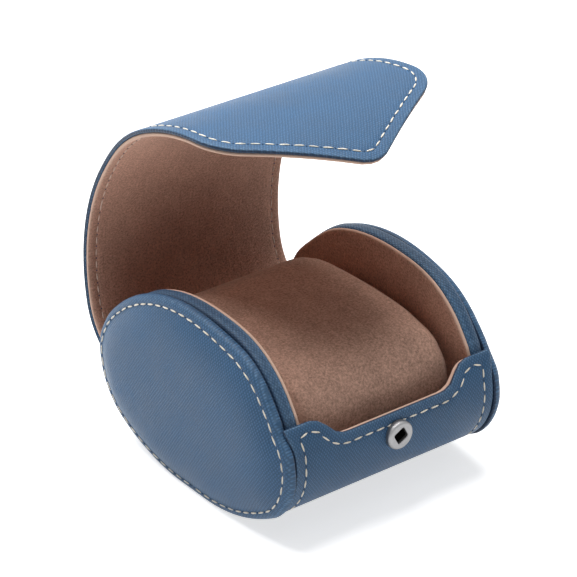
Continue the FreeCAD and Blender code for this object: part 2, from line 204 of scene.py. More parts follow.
LAMPS = (("key", (-0.27, 0.30, 0.24), 0.25, 0.14), ("fill", (0.5, -0.5, 1.1), 0.7, 1.3),
         ("top", (-0.05, 0.34, 1.2), 1.1, 28.0))
AIM = Vector((0, 0, 0.05))
for name, spot, size, watts in LAMPS:
    lamp = place_object(name, bpy.data.lights.new(name, "AREA"))
    lamp.data.size = size
    lamp.data.energy = watts
    lamp.location = spot
    lamp.rotation_euler = (AIM - Vector(spot)).to_track_quat("-Z", "Y").to_euler()
print("lamps", [name for name, *rest in LAMPS])

# %% [markdown]
# ## The two curves that everything follows
# The roll's section is a flat foot and tangent arcs. The leather's path starts on that section at
# the front lip, runs under the roll, leaves it at the hinge and goes on as the lid. Both are kept
# as tables of length, place and outward angle, so a sheet can be laid along them by length.

# %% The oval section
ARC_POINTS = 400


def lengths(y, z):
    """Length run from the first point to each point of a line."""
    return np.concatenate([[0], np.cumsum(np.hypot(np.diff(y), np.diff(z)))])


class Oval:
    """Tangent-arc section in the YZ plane, in mm, read by length from the foot's middle."""

    def __init__(self, depth, height, foot, side_share, rise_share, base):
        side_r = side_share * height
        side_y = depth / 2 - side_r
        side_z = side_r + rise_share * height
        run, rise = side_y - foot / 2, height - side_z
        lower_r = (run ** 2 + side_z ** 2 - side_r ** 2) / (2 * (side_z - side_r))
        turn = math.atan2(run, lower_r - side_z)
        top_r = (side_y ** 2 + rise ** 2 - side_r ** 2) / (2 * (rise - side_r))
        shoulder = math.atan2(side_z - height + top_r, side_y)
        down, round_again = -math.pi / 2, 3 * math.pi / 2
        arcs = ((foot / 2, lower_r, lower_r, down, down + turn),
                (side_y, side_z, side_r, down + turn, shoulder),
                (0, height - top_r, top_r, shoulder, math.pi - shoulder),
                (-side_y, side_z, side_r, math.pi - shoulder, round_again - turn),
                (-foot / 2, lower_r, lower_r, round_again - turn, round_again))
        angle, y, z = [[down]], [[0.0]], [[0.0]]
        for cy, cz, radius, start, end in arcs:
            swing = np.linspace(start, end, ARC_POINTS)
            angle.append(swing)
            y.append(cy + radius * np.cos(swing))
            z.append(cz + radius * np.sin(swing))
        self.angle = np.concatenate(angle + [[round_again]])
        self.y = np.concatenate(y + [[0.0]])
        self.z = np.concatenate(z + [[0.0]]) + base
        self.length = lengths(self.y, self.z)
        self.side_y, self.side_z, self.side_r = side_y, side_z + base, side_r

    def loop(self, count):
        """Evenly spaced places, outward directions and angles in degrees round the section."""
        at = np.linspace(0, self.length[-1], count, endpoint=False)
        y, z, angle = (np.interp(at, self.length, v) for v in (self.y, self.z, self.angle))
        out = np.stack([np.cos(angle), np.sin(angle)], -1)
        return np.stack([y, z], -1), out, np.degrees(angle)


CASE = Oval(depth=90.0, height=58.8, foot=12.0, side_share=0.3665, rise_share=0.0899, base=0.0)
print("section runs", round(CASE.length[-1], 1), "mm round, widest at", round(CASE.side_z, 2))

# %% The leather's path
HINGE = (45.9995, 21.6013)
LID_RISE, HEEL_START, HEEL_TURN, HEEL_RADIUS, LID_RADIUS = 0.8, 35.5, 44.3, 22.4002, 65.0
STRIP_DROP, LIP_ALLOWANCE, LID_TURN = 3.0, 60.0, 130.0
STRIP_POINTS, HEEL_POINTS, LID_POINTS = 60, 120, 700


def flap_path():
    """Length, place and outward angle along the leather, with length zero at the lid's foot."""
    leave_z = HINGE[1] - STRIP_DROP
    leave = 2 * math.pi + math.asin((leave_z - CASE.side_z) / CASE.side_r)
    angle = np.unwrap(np.concatenate([CASE.angle, CASE.angle + 2 * math.pi]))
    on_roll = (angle > math.pi - math.radians(LIP_ALLOWANCE)) & (angle < leave)
    y = np.append(np.tile(CASE.y, 2)[on_roll], CASE.side_y + CASE.side_r * math.cos(leave))
    z = np.append(np.tile(CASE.z, 2)[on_roll], leave_z)
    angle = np.append(angle[on_roll], leave)

    heel = math.radians(HEEL_START)
    foot = np.array([HINGE[0] + LID_RISE, HINGE[1] + LID_RISE])
    here = np.array([y[-1], z[-1]])
    reach = np.linalg.norm(foot - here)
    t = np.linspace(0, 1, STRIP_POINTS)[1:-1, None]
    go = leave + math.pi / 2
    out_dir = np.array([math.cos(go), math.sin(go)]) * reach
    in_dir = np.array([math.cos(heel), math.sin(heel)]) * reach
    strip = ((2 * t ** 3 - 3 * t ** 2 + 1) * here + (t ** 3 - 2 * t ** 2 + t) * out_dir
             + (3 * t ** 2 - 2 * t ** 3) * foot + (t ** 3 - t ** 2) * in_dir)
    slope = ((6 * t ** 2 - 6 * t) * (here - foot) + (3 * t ** 2 - 4 * t + 1) * out_dir
             + (3 * t ** 2 - 2 * t) * in_dir)
    strip_turn = np.unwrap(np.arctan2(slope[:, 1], slope[:, 0]))

    crest = heel + math.radians(HEEL_TURN)
    swing = np.linspace(heel, crest, HEEL_POINTS)
    wide = np.linspace(crest, crest + math.radians(LID_TURN), LID_POINTS)[1:]
    heel_centre = foot + HEEL_RADIUS * np.array([-math.sin(heel), math.cos(heel)])
    turn_over = np.array([math.sin(crest), -math.cos(crest)])
    crest_centre = heel_centre + (HEEL_RADIUS - LID_RADIUS) * turn_over
    arcs = ((heel_centre, HEEL_RADIUS, swing), (crest_centre, LID_RADIUS, wide))
    y = np.concatenate([y, strip[:, 0]] + [c[0] + r * np.sin(turn) for c, r, turn in arcs])
    z = np.concatenate([z, strip[:, 1]] + [c[1] - r * np.cos(turn) for c, r, turn in arcs])
    turns = np.concatenate([strip_turn, swing, wide]) + 3 * math.pi / 2
    along = lengths(y, z)
    start = along[len(along) - len(swing) - len(wide)]
    return along - start, y, z, np.concatenate([angle, turns]), crest_centre


ALONG, PATH_Y, PATH_Z, PATH_ANGLE, CREST_CENTRE = flap_path()
HEEL_LENGTH = HEEL_RADIUS * math.radians(HEEL_TURN)


def on_flap(along, across, depth):
    """Places on the flap: a length along its outer face, a distance across, a depth into it."""
    angle = np.interp(along, ALONG, PATH_ANGLE)
    y = np.interp(along, ALONG, PATH_Y) - depth * np.cos(angle)
    z = np.interp(along, ALONG, PATH_Z) - depth * np.sin(angle)
    return np.stack(np.broadcast_arrays(across, y, z), -1)


print("leather runs from", round(ALONG[0], 1), "to", round(ALONG[-1], 1), "mm")

# %% [markdown]
# ## Grain, nap, wear and painted light as shared node groups
# The leather is pressed with a fine crossed hatch, and the suede has a nap that lies in soft
# patches. Both are also a little uneven in colour, rubbed pale near their edges and of another tone
# where they are cut. On the leather, the pale edge is also a painted highlight. The cut tone also
# serves as painted shade on the hoops and in the gap behind each disc, and the grain's grooves are
# painted darker as shade. Each effect is a small group, placed in every finish that needs it.

# %% Cross grain of the leather
BAND_RATE, HATCH_LEAN, PEBBLE_SHARE = 0.31, 0.62, 0.8
grain, get, give = group("cross_grain", {"Vector": VECTOR, "Pitch": FLOAT, "Waver": FLOAT},
                         {"Height": FLOAT, "Ridge Share": FLOAT})
waver = noise(grain, get["Vector"], scale=0.9, detail=2.0)["Color"]
push = scaled(grain, vector_node(grain, "SUBTRACT", waver, (0.5, 0.5, 0.5)), get["Waver"])
moved = vector_node(grain, "ADD", get["Vector"], push)
rate = math_node(grain, "DIVIDE", BAND_RATE, get["Pitch"])
bands = []
for lean in (HATCH_LEAN, -HATCH_LEAN):
    turned = add(grain, "ShaderNodeMapping", {"Vector": moved, "Rotation": (0, 0, lean)})
    band = add(grain, "ShaderNodeTexWave",
               {"Vector": turned.outputs[0], "Scale": rate, "Distortion": 1.2, "Detail": 1.0,
                "Detail Scale": 1.5}, bands_direction="X")
    bands.append(band.outputs["Fac"])
hatch = math_node(grain, "MULTIPLY", *bands)
pebble = noise(grain, get["Vector"], scale=3.2, detail=3.0)["Fac"]
height = math_node(grain, "MULTIPLY_ADD", pebble, PEBBLE_SHARE, hatch)
# The stretched height is high on the ridges and low in the grooves. The leather is darkened where
# it is low, as painted shade in the grooves.
fill_in(grain, give, {"Height": height, "Ridge Share": ramp(grain, height, 0.35, 1.2)})

# %% Soft unevenness of colour
patchy, get, give = group("patchy_tone", {"Vector": VECTOR, "Size": FLOAT, "Amount": FLOAT,
                                          "Color": COLOUR}, {"Color": COLOUR, "Mask": FLOAT})
rate = math_node(patchy, "DIVIDE", 1.0, get["Size"])
mask = ramp(patchy, noise(patchy, get["Vector"], rate, 4.0, roughness=0.6)["Fac"], 0.3, 0.7)
swing = math_node(patchy, "SUBTRACT", mask, 0.5)
gain = math_node(patchy, "MULTIPLY_ADD", swing, get["Amount"], 1.0)
fill_in(patchy, give, {"Color": scaled(patchy, get["Color"], gain), "Mask": mask})

# %% Rubbed and cut edges, with painted highlight and painted shade
edge_tones, get, give = group("edge_wear_light_shade", {"Vector": VECTOR, "Edge": FLOAT, "Color": COLOUR,
                                          "Worn And Highlight": COLOUR, "Cut And Shade": COLOUR, "Amount": FLOAT},
                          {"Color": COLOUR})
break_up = ramp(edge_tones, noise(edge_tones, get["Vector"], scale=0.7, detail=4.0)["Fac"], 0.25, 0.65)
share = math_node(edge_tones, "MULTIPLY", get["Edge"], break_up)
share = math_node(edge_tones, "MULTIPLY", share, get["Amount"])
# On the leather, the pale tone is wear and a painted highlight on the rolled edge. The cut tone is
# the dark cut edge, and painted shade where the edge value is set high on the hoops and behind the
# discs.
edge_toned = mix(edge_tones, share, get["Color"], get["Worn And Highlight"])
cut_and_shade_share = ramp(edge_tones, get["Edge"], 0.55, 0.9)
fill_in(edge_tones, give, {"Color": mix(edge_tones, cut_and_shade_share, edge_toned, get["Cut And Shade"])})

# %% Nap of the suede
nap, get, give = group("suede_nap", {"Vector": VECTOR, "Fibre": FLOAT},
                       {"Height": FLOAT, "Stroke": FLOAT, "Speck": FLOAT})
fibre = noise(nap, get["Vector"], get["Fibre"], 5.0, roughness=0.75)["Fac"]
stretched = add(nap, "ShaderNodeMapping", {"Vector": get["Vector"], "Rotation": (0, 0, 0.5),
                                           "Scale": (0.5, 0.12, 0.3)}).outputs[0]
stroke = noise(nap, stretched, 1.0, 4.0, roughness=0.65)["Fac"]
fill_in(nap, give, {"Height": fibre, "Stroke": ramp(nap, stroke, 0.3, 0.7),
                    "Speck": ramp(nap, fibre, 0.36, 0.64)})
print("groups", [tree.name for tree in bpy.data.node_groups])

# %% [markdown]
# ## The finishes
# Leather and suede read a map that is laid along each sheet in millimetres, so the pattern keeps
# its size and follows the sheet when it bends. Their numbers that vary over the surface come from
# the groups, and the constant ones are set on the shader itself.

# %% Parts of a finish
def use(tree, shared, inputs):
    """A shared group placed in a material. Returns its outputs."""
    return add(tree, "ShaderNodeGroup", inputs, node_tree=shared).outputs


def map_in_mm(tree):
    """The piece's own map, in millimetres."""
    return add(tree, "ShaderNodeUVMap", uv_map="laid").outputs["UV"]


def place_in_mm(tree):
    """The place on the piece itself, in millimetres."""
    return scaled(tree, add(tree, "ShaderNodeTexCoord").outputs["Object"], 1 / MM)


def edge_value(tree):
    return add(tree, "ShaderNodeAttribute", attribute_name="edge").outputs["Fac"]


def surface(tree, colour, gloss, rough, height, bump, constant):
    """Joins colour, a range of roughness and a bump of (strength, mm) to the shader."""
    span = {"Value": gloss, "To Min": rough[0], "To Max": rough[1]}
    relief = {"Height": height, "Strength": bump[0], "Distance": bump[1] * MM}
    joined = {"Base Color": colour,
              "Roughness": add(tree, "ShaderNodeMapRange", span).outputs["Result"],
              "Normal": add(tree, "ShaderNodeBump", relief).outputs["Normal"]}
    fill_in(tree, tree.nodes["Principled BSDF"], {**joined, **constant})

# %% Leather and suede
# The pale edge tone of the leather is wear, and also a painted highlight along its rolled edges.
LEATHER_BLUE, LEATHER_WEAR_HIGHLIGHT = (0.056, 0.142, 0.276, 1), (0.18, 0.31, 0.47, 1)
# The cut tone is the leather's dark cut edge. It is also used as painted shade on the hoops, in the
# gap behind each disc and in the needle holes.
LEATHER_CUT_AND_SHADE, LEATHER_GROOVE_SHADE = (0.022, 0.05, 0.105, 1), 0.55
# Lining and cushion are one suede. The lining's tone is made lighter as painted light, to make up
# for the shade it lies in under the lid.
SUEDE_LINING_LIFTED, SUEDE_ON_CUSHION = (0.52, 0.29, 0.213, 1), (0.46, 0.283, 0.214, 1)
SUEDE_PALE, SUEDE_SHEEN = (0.74, 0.51, 0.40, 1), (0.9, 0.75, 0.64, 1)
SUEDE_SHADE, SUEDE_LIGHT, SPECK_SHARE, STROKE_SHARE = 0.56, 1.44, 0.7, 0.3


def leather_finish():
    material, tree = finish("cross_grained_leather")
    laid = map_in_mm(tree)
    hatch = use(tree, grain, {"Vector": laid, "Pitch": 0.78, "Waver": 0.5})
    tone = use(tree, patchy, {"Vector": laid, "Size": 14.0, "Amount": 0.16, "Color": LEATHER_BLUE})
    edge_toned = use(tree, edge_tones, {"Vector": laid, "Edge": edge_value(tree), "Color": tone["Color"],
                              "Worn And Highlight": LEATHER_WEAR_HIGHLIGHT, "Cut And Shade": LEATHER_CUT_AND_SHADE, "Amount": 1.0})["Color"]
    # Painted shade: the leather is darker in the grain's grooves than on its ridges.
    colour = mix(tree, hatch["Ridge Share"], scaled(tree, edge_toned, LEATHER_GROOVE_SHADE), edge_toned)
    surface(tree, colour, tone["Mask"], (0.4, 0.52), hatch["Height"], (0.5, 0.2),
            {"Specular IOR Level": 0.22})
    return material


def suede_finish(name, spot, base_colour):
    """Suede whose nap follows a map or the piece itself."""
    material, tree = finish(name)
    laid = spot(tree)
    pile = use(tree, nap, {"Vector": laid, "Fibre": 1.5})
    tone = use(tree, patchy, {"Vector": laid, "Size": 11.0, "Amount": 0.2, "Color": base_colour})["Color"]
    brushed = mix(tree, pile["Stroke"], pile["Speck"], pile["Stroke"], "FLOAT")
    brushed = math_node(tree, "MULTIPLY", brushed, STROKE_SHARE)
    light = math_node(tree, "MULTIPLY_ADD", pile["Speck"], SPECK_SHARE, brushed)
    tone = mix(tree, light, scaled(tree, tone, SUEDE_SHADE), scaled(tree, tone, SUEDE_LIGHT))
    edge_toned = use(tree, edge_tones, {"Vector": laid, "Edge": edge_value(tree), "Color": tone,
                              "Worn And Highlight": SUEDE_PALE, "Cut And Shade": SUEDE_PALE, "Amount": 0.9})["Color"]
    surface(tree, edge_toned, pile["Height"], (0.85, 1.0), pile["Height"], (0.5, 0.3),
            {"Specular IOR Level": 0.15, "Sheen Weight": 0.2, "Sheen Roughness": 0.5,
             "Sheen Tint": SUEDE_SHEEN})
    return material


LEATHER = leather_finish()
SUEDE = suede_finish("brushed_suede", map_in_mm, SUEDE_LINING_LIFTED)
CUSHION_SUEDE = suede_finish("cushion_suede", place_in_mm, SUEDE_ON_CUSHION)

# %% Thread, needle holes, nickel and board
THREAD_CREAM, THREAD_INSIDE = (0.84, 0.78, 0.67, 1), (0.68, 0.52, 0.43, 1)
# The dark nickel is painted shade deep in the snap's opening.
NICKEL_GREY, NICKEL_OPENING_SHADE = (0.28, 0.28, 0.285, 1), (0.05, 0.048, 0.045, 1)
BOARD_BROWN = (0.30, 0.23, 0.16, 1)


def twist(tree, spot):
    """The turns of a thread."""
    inputs = {"Vector": spot, "Scale": 0.9, "Distortion": 0.5}
    return add(tree, "ShaderNodeTexWave", inputs, bands_direction="DIAGONAL").outputs["Fac"]


def scuff(tree, spot):
    """Fine wear on metal."""
    return noise(tree, spot, scale=5.0, detail=5.0, roughness=0.7)["Fac"]


def small_finish(name, base_colour, size, amount, rough, bump, relief=None, metallic=0.0):
    """Patches of a size and amount, with a relief, or the patches, as bump and gloss."""
    material, tree = finish(name)
    spot = place_in_mm(tree)
    tone = use(tree, patchy, {"Vector": spot, "Size": size, "Amount": amount, "Color": base_colour})
    height = relief(tree, spot) if relief else tone["Mask"]
    surface(tree, tone["Color"], height, rough, height, bump, {"Metallic": metallic})
    return material


# The needle hole is a small dark dent: painted shade of the hole.
HOLE_SHADE = small_finish("needle_hole_shade", LEATHER_CUT_AND_SHADE, 2.0, 0.5, (0.7, 0.9), (0.3, 0.1))
BOARD = small_finish("pressed_board", BOARD_BROWN, 2.0, 0.5, (0.8, 0.95), (0.3, 0.3))
THREAD, INNER_THREAD = (small_finish(name, base_colour, 6.0, 0.3, (0.55, 0.75), (0.4, 0.1), twist)
                        for name, base_colour in (("waxed_thread", THREAD_CREAM),
                                          ("inner_thread", THREAD_INSIDE)))
NICKEL, SHADED_NICKEL = (small_finish(name, tint, 3.0, 0.12, (0.34, 0.55), (0.12, 0.1), scuff, 1.0)
                       for name, tint in (("satin_nickel", NICKEL_GREY),
                                          ("opening_shade_nickel", NICKEL_OPENING_SHADE)))
print("finishes", [m.name for m in bpy.data.materials if m.use_nodes])

# %% [markdown]
# ## From rows of points to closed pieces
# Every leather and suede piece here is a grid of points: rings of points for the discs and hoops,
# rows along the path for the wrap and lid. One helper turns such a grid into a clean closed mesh
# with its map and a value that is high along its edges, and that also carries painted highlight
# and painted shade.

# %% Mesh helpers
SAME_POINT = 2e-7
CREASE = math.radians(48)


def piece(name, spots, faces, laid, edge, material):
    """Closed mesh object from places in mm, faces, a map for each place and an edge value for wear,
    cut and painted light.
    """
    mesh = bpy.data.meshes.new(name)
    mesh.from_pydata((np.asarray(spots).reshape(-1, 3) * MM).tolist(), [], faces)
    corner = np.zeros(len(mesh.loops), int)
    mesh.loops.foreach_get("vertex_index", corner)
    layer = mesh.uv_layers.new(name="laid")
    layer.data.foreach_set("uv", np.asarray(laid, float).reshape(-1, 2)[corner].ravel())
    value = mesh.attributes.new("edge", "FLOAT", "POINT")
    value.data.foreach_set("value", np.asarray(edge, float).ravel())
    work = bmesh.new()
    work.from_mesh(mesh)
    bmesh.ops.remove_doubles(work, verts=work.verts, dist=SAME_POINT)
    bmesh.ops.dissolve_degenerate(work, edges=work.edges, dist=SAME_POINT)
    work.to_mesh(mesh)
    open_edges = sum(1 for e in work.edges if not e.is_manifold)
    volume = work.calc_volume(signed=True) / MM ** 3
    work.free()
    mesh.shade_smooth()
    mesh.set_sharp_from_angle(angle=CREASE)
    mesh.materials.append(material)
    made = place_object(name, mesh)
    print(name, len(mesh.vertices), "points, open edges", open_edges, "mm3", round(volume))
    return made


def settled(made):
    """The mesh that a piece's modifiers make, in place of its own."""
    ready = made.evaluated_get(bpy.context.evaluated_depsgraph_get())
    made.data = bpy.data.meshes.new_from_object(ready)
    made.modifiers.clear()
    made.data.name = made.name
    return made

# %% [markdown]
# ## The padded ends
# Each end is a board with a thin foam pad under leather. The leather is turned over the rim, sewn a
# few millimetres in, and swells inside the seam. A revolve won't do because the outline is an oval,
# so the profile is carried round the section as offset rings and closed towards the middle.

# %% Fullness round the section
def ease(value, low, high):
    """Nought below low, one above high and a smooth step between."""
    t = np.clip((value - low) / (high - low), 0, 1)
    return t * t * (3 - 2 * t)


def bell(away, width):
    """One at no distance, fading on both sides."""
    return np.exp(-(away / width) ** 2)


def hump(angle, centre, width):
    """A bell round the section, where angles come round again."""
    return bell((angle - centre + 180) % 360 - 180, width)


def stretch(angle, start, end, soft):
    """One between two places round the section, with soft ends."""
    past, span = (angle - start) % 360, (end - start) % 360
    return ease(past, 0, soft) * (1 - ease(past, span - soft, span))


def fullness(base, stretches, humps):
    """How far a ring stands out: millimetres, each with its place in degrees and its softness."""
    return lambda angle: (base + sum(mm * stretch(angle, *where) for mm, *where in stretches)
                          + sum(mm * hump(angle, *where) for mm, *where in humps))


LOW_SWELLS, LIP_SLACK = [(0.7, 283, 30, 24), (0.4, 172, 245, 18)], (-1.45, 147, 13)
LEFT_SHOULDER, RIGHT_SHOULDER, RIGHT_TOP = (2.0, 119, 12), (0.9, 119, 12), (-0.8, 30, 150, 20)
DISC_REACH = {"left": fullness(0.0, LOW_SWELLS, [LIP_SLACK, LEFT_SHOULDER]),
              "right": fullness(0.0, LOW_SWELLS + [RIGHT_TOP], [LIP_SLACK, RIGHT_SHOULDER])}
UNDER_WRAP, BARE_SWELL, HOOP_SHOULDER = -1.28, (1.4, 48, 145, 20), (2.1, 116, 15.5)
HOOP_REACH = fullness(UNDER_WRAP, [BARE_SWELL], [HOOP_SHOULDER])
print("hoop stands out by", np.round(HOOP_REACH(np.array([0.0, 116.0])), 2), "mm at back and front")

# %% Pieces made of rings
RING_POINTS = 536
CENTRE_Z = 29.0
REACH_FADE = 12.0
ENDS = (("left", -1), ("right", 1))


def ring_grid(profile, reach):
    """Rings for a profile of (outward offset, X, share of the way out from the middle)."""
    spots, out, angle = CASE.loop(RING_POINTS)
    rings = []
    for off, x, share in profile:
        fade = np.clip(1 + off / REACH_FADE, 0, 1)
        flat = spots + (off + fade * reach(angle))[:, None] * out
        z = CENTRE_Z + (flat[:, 1] - CENTRE_Z) * share
        rings.append(np.stack([np.full(RING_POINTS, x), flat[:, 0] * share, z], -1))
    return np.array(rings)


def ring_faces(rings, count, closed=False, flip=False):
    """Quads from ring to ring, and back to the first one if the profile is closed."""
    faces = []
    for r in range(rings if closed else rings - 1):
        s = (r + 1) % rings
        for i in range(count):
            j = (i + 1) % count
            quad = (r * count + i, r * count + j, s * count + j, s * count + i)
            faces.append(quad[::-1] if flip else quad)
    return faces


def close_middles(spots, laid, edge, faces, count, flip=False):
    """Fans that close the first and the last ring."""
    rings = len(spots) // count
    for ring, first in ((0, True), (rings - 1, False)):
        own = slice(ring * count, (ring + 1) * count)
        spots, laid, edge = (np.concatenate([v, v[own].mean(0)[None]]) for v in (spots, laid, edge))
        for i in range(count):
            tri = (ring * count + i, ring * count + (i + 1) % count, len(spots) - 1)
            faces.append(tri[::-1] if first != flip else tri)
    return spots, laid, edge


def ring_piece(name, profile, edge, material, side, reach, closed=False, shape=None):
    """Rings on the +X end, mirrored for the other, closed to a tube or over their middles."""
    rings = ring_grid(profile, reach)
    if shape is not None:
        rings = shape(rings)
    laid = rings[:, :, 1:].copy()
    if closed:
        run = np.linspace(0, CASE.length[-1], RING_POINTS, endpoint=False)
        across = lengths([off for off, *rest in profile], [x for off, x, share in profile])
        laid = np.stack(np.broadcast_arrays(across[:, None], run[None, :]), -1)
    rings[:, :, 0] *= side
    faces = ring_faces(len(rings), RING_POINTS, closed, side < 0)
    spots, laid = rings.reshape(-1, 3), laid.reshape(-1, 2)
    edge = np.repeat(np.asarray(edge, float), RING_POINTS)
    if not closed:
        spots, laid, edge = close_middles(spots, laid, edge, faces, RING_POINTS, side < 0)
    return piece(name, spots, faces, laid, edge, material)


def lofted_piece(name, rings, plane, material):
    """Rings of places joined in order, closed over both middles and mapped on two axes."""
    count, grid = len(rings[0]), np.vstack(rings)
    faces = ring_faces(len(rings), count)
    closed = close_middles(grid, grid[:, plane], np.zeros(len(grid)), faces, count)
    return piece(name, closed[0], faces, *closed[1:], material)


def flat_rings(point, shares):
    """Flat rings at one offset and X, at several shares of the way out."""
    return [(*point, share) for share in shares]

# %% Padded discs
STITCH_PITCH = 3.9
DISC_SEAM, SEAM_X = 2.3, 38.56
PUCKER_DEEP, PUCKER_WIDE = 0.05, 0.7
DISC_SIDE = [(-0.9, 35.5), (-0.4, 35.52), (-0.08, 35.64), (0.1, 35.9), (0.16, 36.3), (0.14, 36.75),
             (0.02, 37.2), (-0.2, 37.6), (-0.5, 37.98), (-0.9, 38.3), (-1.35, 38.52), (-1.8, 38.62),
             (-2.1, 38.6), (-DISC_SEAM, SEAM_X), (-2.5, 38.6), (-2.85, 38.74), (-3.3, 38.96),
             (-4.0, 39.32), (-5.1, 39.84), (-6.8, 40.48), (-9.2, 41.06), (-12.2, 41.46),
             (-16.5, 41.7)]
DISC_CROWN_X = 41.84
SHRINK = (0.86, 0.72, 0.58, 0.44, 0.3, 0.17, 0.06)
CUT_AND_SHADE_TO_X, RUB_FROM_X = 36.0, 36.5
RUB_AND_HIGHLIGHT_MOST, RUB_OFF, RUB_WIDE = 0.5, -0.2, 0.5


def disc_profile():
    """From the middle of the back, over the rim and the seam, to the middle of the crown."""
    last_off, low = DISC_SIDE[-1]
    crown = [(last_off, low + (DISC_CROWN_X - low) * (1 - share ** 2), share) for share in SHRINK]
    side = [(off, x, 1.0) for off, x in DISC_SIDE]
    return flat_rings(DISC_SIDE[0], (0.1, 0.5, 0.85)) + side + crown


def disc_wear_and_shade(off, x, share):
    """High at the back: cut edge and painted shade in the gap to the hoop. Some on the rim: wear
    and painted highlight.
    """
    if x < CUT_AND_SHADE_TO_X:
        return 1.0
    on_rim = share == 1.0 and x > RUB_FROM_X
    return RUB_AND_HIGHLIGHT_MOST * bell(off - RUB_OFF, RUB_WIDE) if on_rim else 0.0


def pucker(rings):
    """The thread draws the leather in at each hole."""
    count = round(CASE.length[-1] / STITCH_PITCH)
    wave = np.cos(2 * math.pi * count * np.arange(RING_POINTS) / RING_POINTS)
    for ring, (off, x, share) in zip(rings, disc_profile()):
        near = bell(off + DISC_SEAM, PUCKER_WIDE) if share == 1.0 else 0.0
        ring[:, 0] -= PUCKER_DEEP * near * wave
    return rings


disc_wear_shade_values = [disc_wear_and_shade(*point) for point in disc_profile()]
discs = {end: ring_piece(end + "_disc", disc_profile(), disc_wear_shade_values, LEATHER, side, DISC_REACH[end],
                         shape=pucker) for end, side in ENDS}

# %% [markdown]
# ## Hoops and end linings
# Behind each disc a leather band covers the rim of a thick board, and a suede disc lines the
# inside. The band is a closed ring with a rounded back. Its whole face is darkened toward the cut
# tone as painted shade. The suede is cut flush, so its edge shows pale.

# %% Hoops and linings
HOOP = [(-2.4, 31.02), (-1.3, 31.0), (-0.7, 31.1), (-0.35, 31.4), (-0.12, 31.9), (0.0, 32.6),
        (0.03, 33.3), (0.0, 34.0), (-0.14, 34.5), (-0.45, 34.95), (-0.95, 35.26), (-1.55, 35.4),
        (-2.4, 35.42)]
# The hoop's values darken its whole band toward the cut tone, as painted shade. The rows at the
# front, in the gap to the disc, are also its cut edge.
HOOP_CUT_AND_SHADE = [0.6] * 3 + [0.5] * 2 + [0.7] * 4 + [0.86] + [1.0] * 3
LINING_RIM = [(-4.7, 30.0), (-2.2, 30.0), (-1.3, 30.02), (-0.85, 30.1), (-0.6, 30.3),
              (-0.52, 30.55), (-0.56, 30.8), (-0.7, 30.98)]
hoop = [(off, x, 1.0) for off, x in HOOP]
face = flat_rings(LINING_RIM[0], (0.06, 0.25, 0.5, 0.75, 0.9))
rim = [(off, x, 1.0) for off, x in LINING_RIM]
behind = flat_rings(LINING_RIM[-1], (0.9, 0.5, 0.1))
lining_edge = [0.0] * len(face) + [0.0, 0.0, 0.3, 0.8] + [1.0] * 4 + [0.0] * len(behind)
hoops, end_linings = {}, {}
for end, side in ENDS:
    hoops[end] = ring_piece(end + "_hoop", hoop, HOOP_CUT_AND_SHADE, LEATHER, side, HOOP_REACH, closed=True)
    end_linings[end] = ring_piece(end + "_suede_end", face + rim + behind, lining_edge, SUEDE, side,
                                  HOOP_REACH)

# %% [markdown]
# ## The wrap, the lid and the tab
# On the real case this is one piece of leather with a suede lining, cut to shape and sewn round its
# edge. It has to bend at three places, so it is laid as three spans that meet where nothing bends.
# Each span is a closed sheet with rounded edges. The seam presses a shallow groove into it.

# %% Lip and tab
def arc(radius, away):
    """Height of a circle over its middle, at a distance away from it."""
    return np.sqrt(np.maximum(radius ** 2 - away ** 2, 0))


LIP_HIGH, LIP_LOW, LIP_IN, LIP_OUT, LIP_ARC = 39.5, 33.5, 16.5, 28.5, 7.5
TAB_CORNER_Y, TAB_POINT_Y, TAB_ROUND, SHOULDER_ROUND = -12.4, -36.2, 9.0, 16.0
FLAP_HALF, TAB_HALF = 35.3, 38.4
FRONT_RUN = 45.0
FRONT = ALONG < ALONG[0] + FRONT_RUN


def lip_height(across):
    """Height of the lip's edge: high ends, a long low middle and S-shaped slopes."""
    a = np.abs(across)
    middle = (LIP_IN + LIP_OUT) / 2
    low_arc = LIP_LOW + LIP_ARC - arc(LIP_ARC, a - LIP_IN)
    high_arc = LIP_HIGH - LIP_ARC + arc(LIP_ARC, LIP_OUT - a)
    return np.select([a <= LIP_IN, a < middle, a < LIP_OUT], [LIP_LOW, low_arc, high_arc], LIP_HIGH)


def lip_start(across):
    """Length along the leather at which the lip's edge lies."""
    return np.interp(-lip_height(across), -PATH_Z[FRONT], ALONG[FRONT])


def tab_end(across, inset=0.0):
    """Length along the leather at which the tab ends: slants, a round point, round shoulders."""
    a = np.minimum(np.abs(across), TAB_HALF - inset)
    run, fall = TAB_HALF, TAB_CORNER_Y - TAB_POINT_Y
    slant = math.hypot(run, fall)
    radius_tip, radius_corner = TAB_ROUND - inset, SHOULDER_ROUND - inset
    tip_turn = math.atan2(fall, run)
    tip_centre = TAB_POINT_Y + TAB_ROUND * slant / run
    corner_y = TAB_CORNER_Y + SHOULDER_ROUND * math.tan((math.pi / 2 - tip_turn) / 2)
    corner_x = TAB_HALF - SHOULDER_ROUND
    tip_x = radius_tip * math.sin(tip_turn)
    shoulder_x = corner_x + radius_corner * math.sin(tip_turn)
    tip = tip_centre - arc(radius_tip, a)
    line = TAB_POINT_Y + inset * slant / run + a * fall / run
    shoulder = corner_y - arc(radius_corner, a - corner_x)
    y = np.select([a < tip_x, a < shoulder_x], [tip, line], shoulder)
    turn = math.pi + np.arcsin((CREST_CENTRE[0] - y) / LID_RADIUS)
    return HEEL_LENGTH + LID_RADIUS * (turn - math.radians(HEEL_START + HEEL_TURN))


print("lip from", np.round(lip_start(np.array([0.0, FLAP_HALF])), 1),
      "tab to", np.round(tab_end(np.array([0.0, TAB_HALF])), 1))

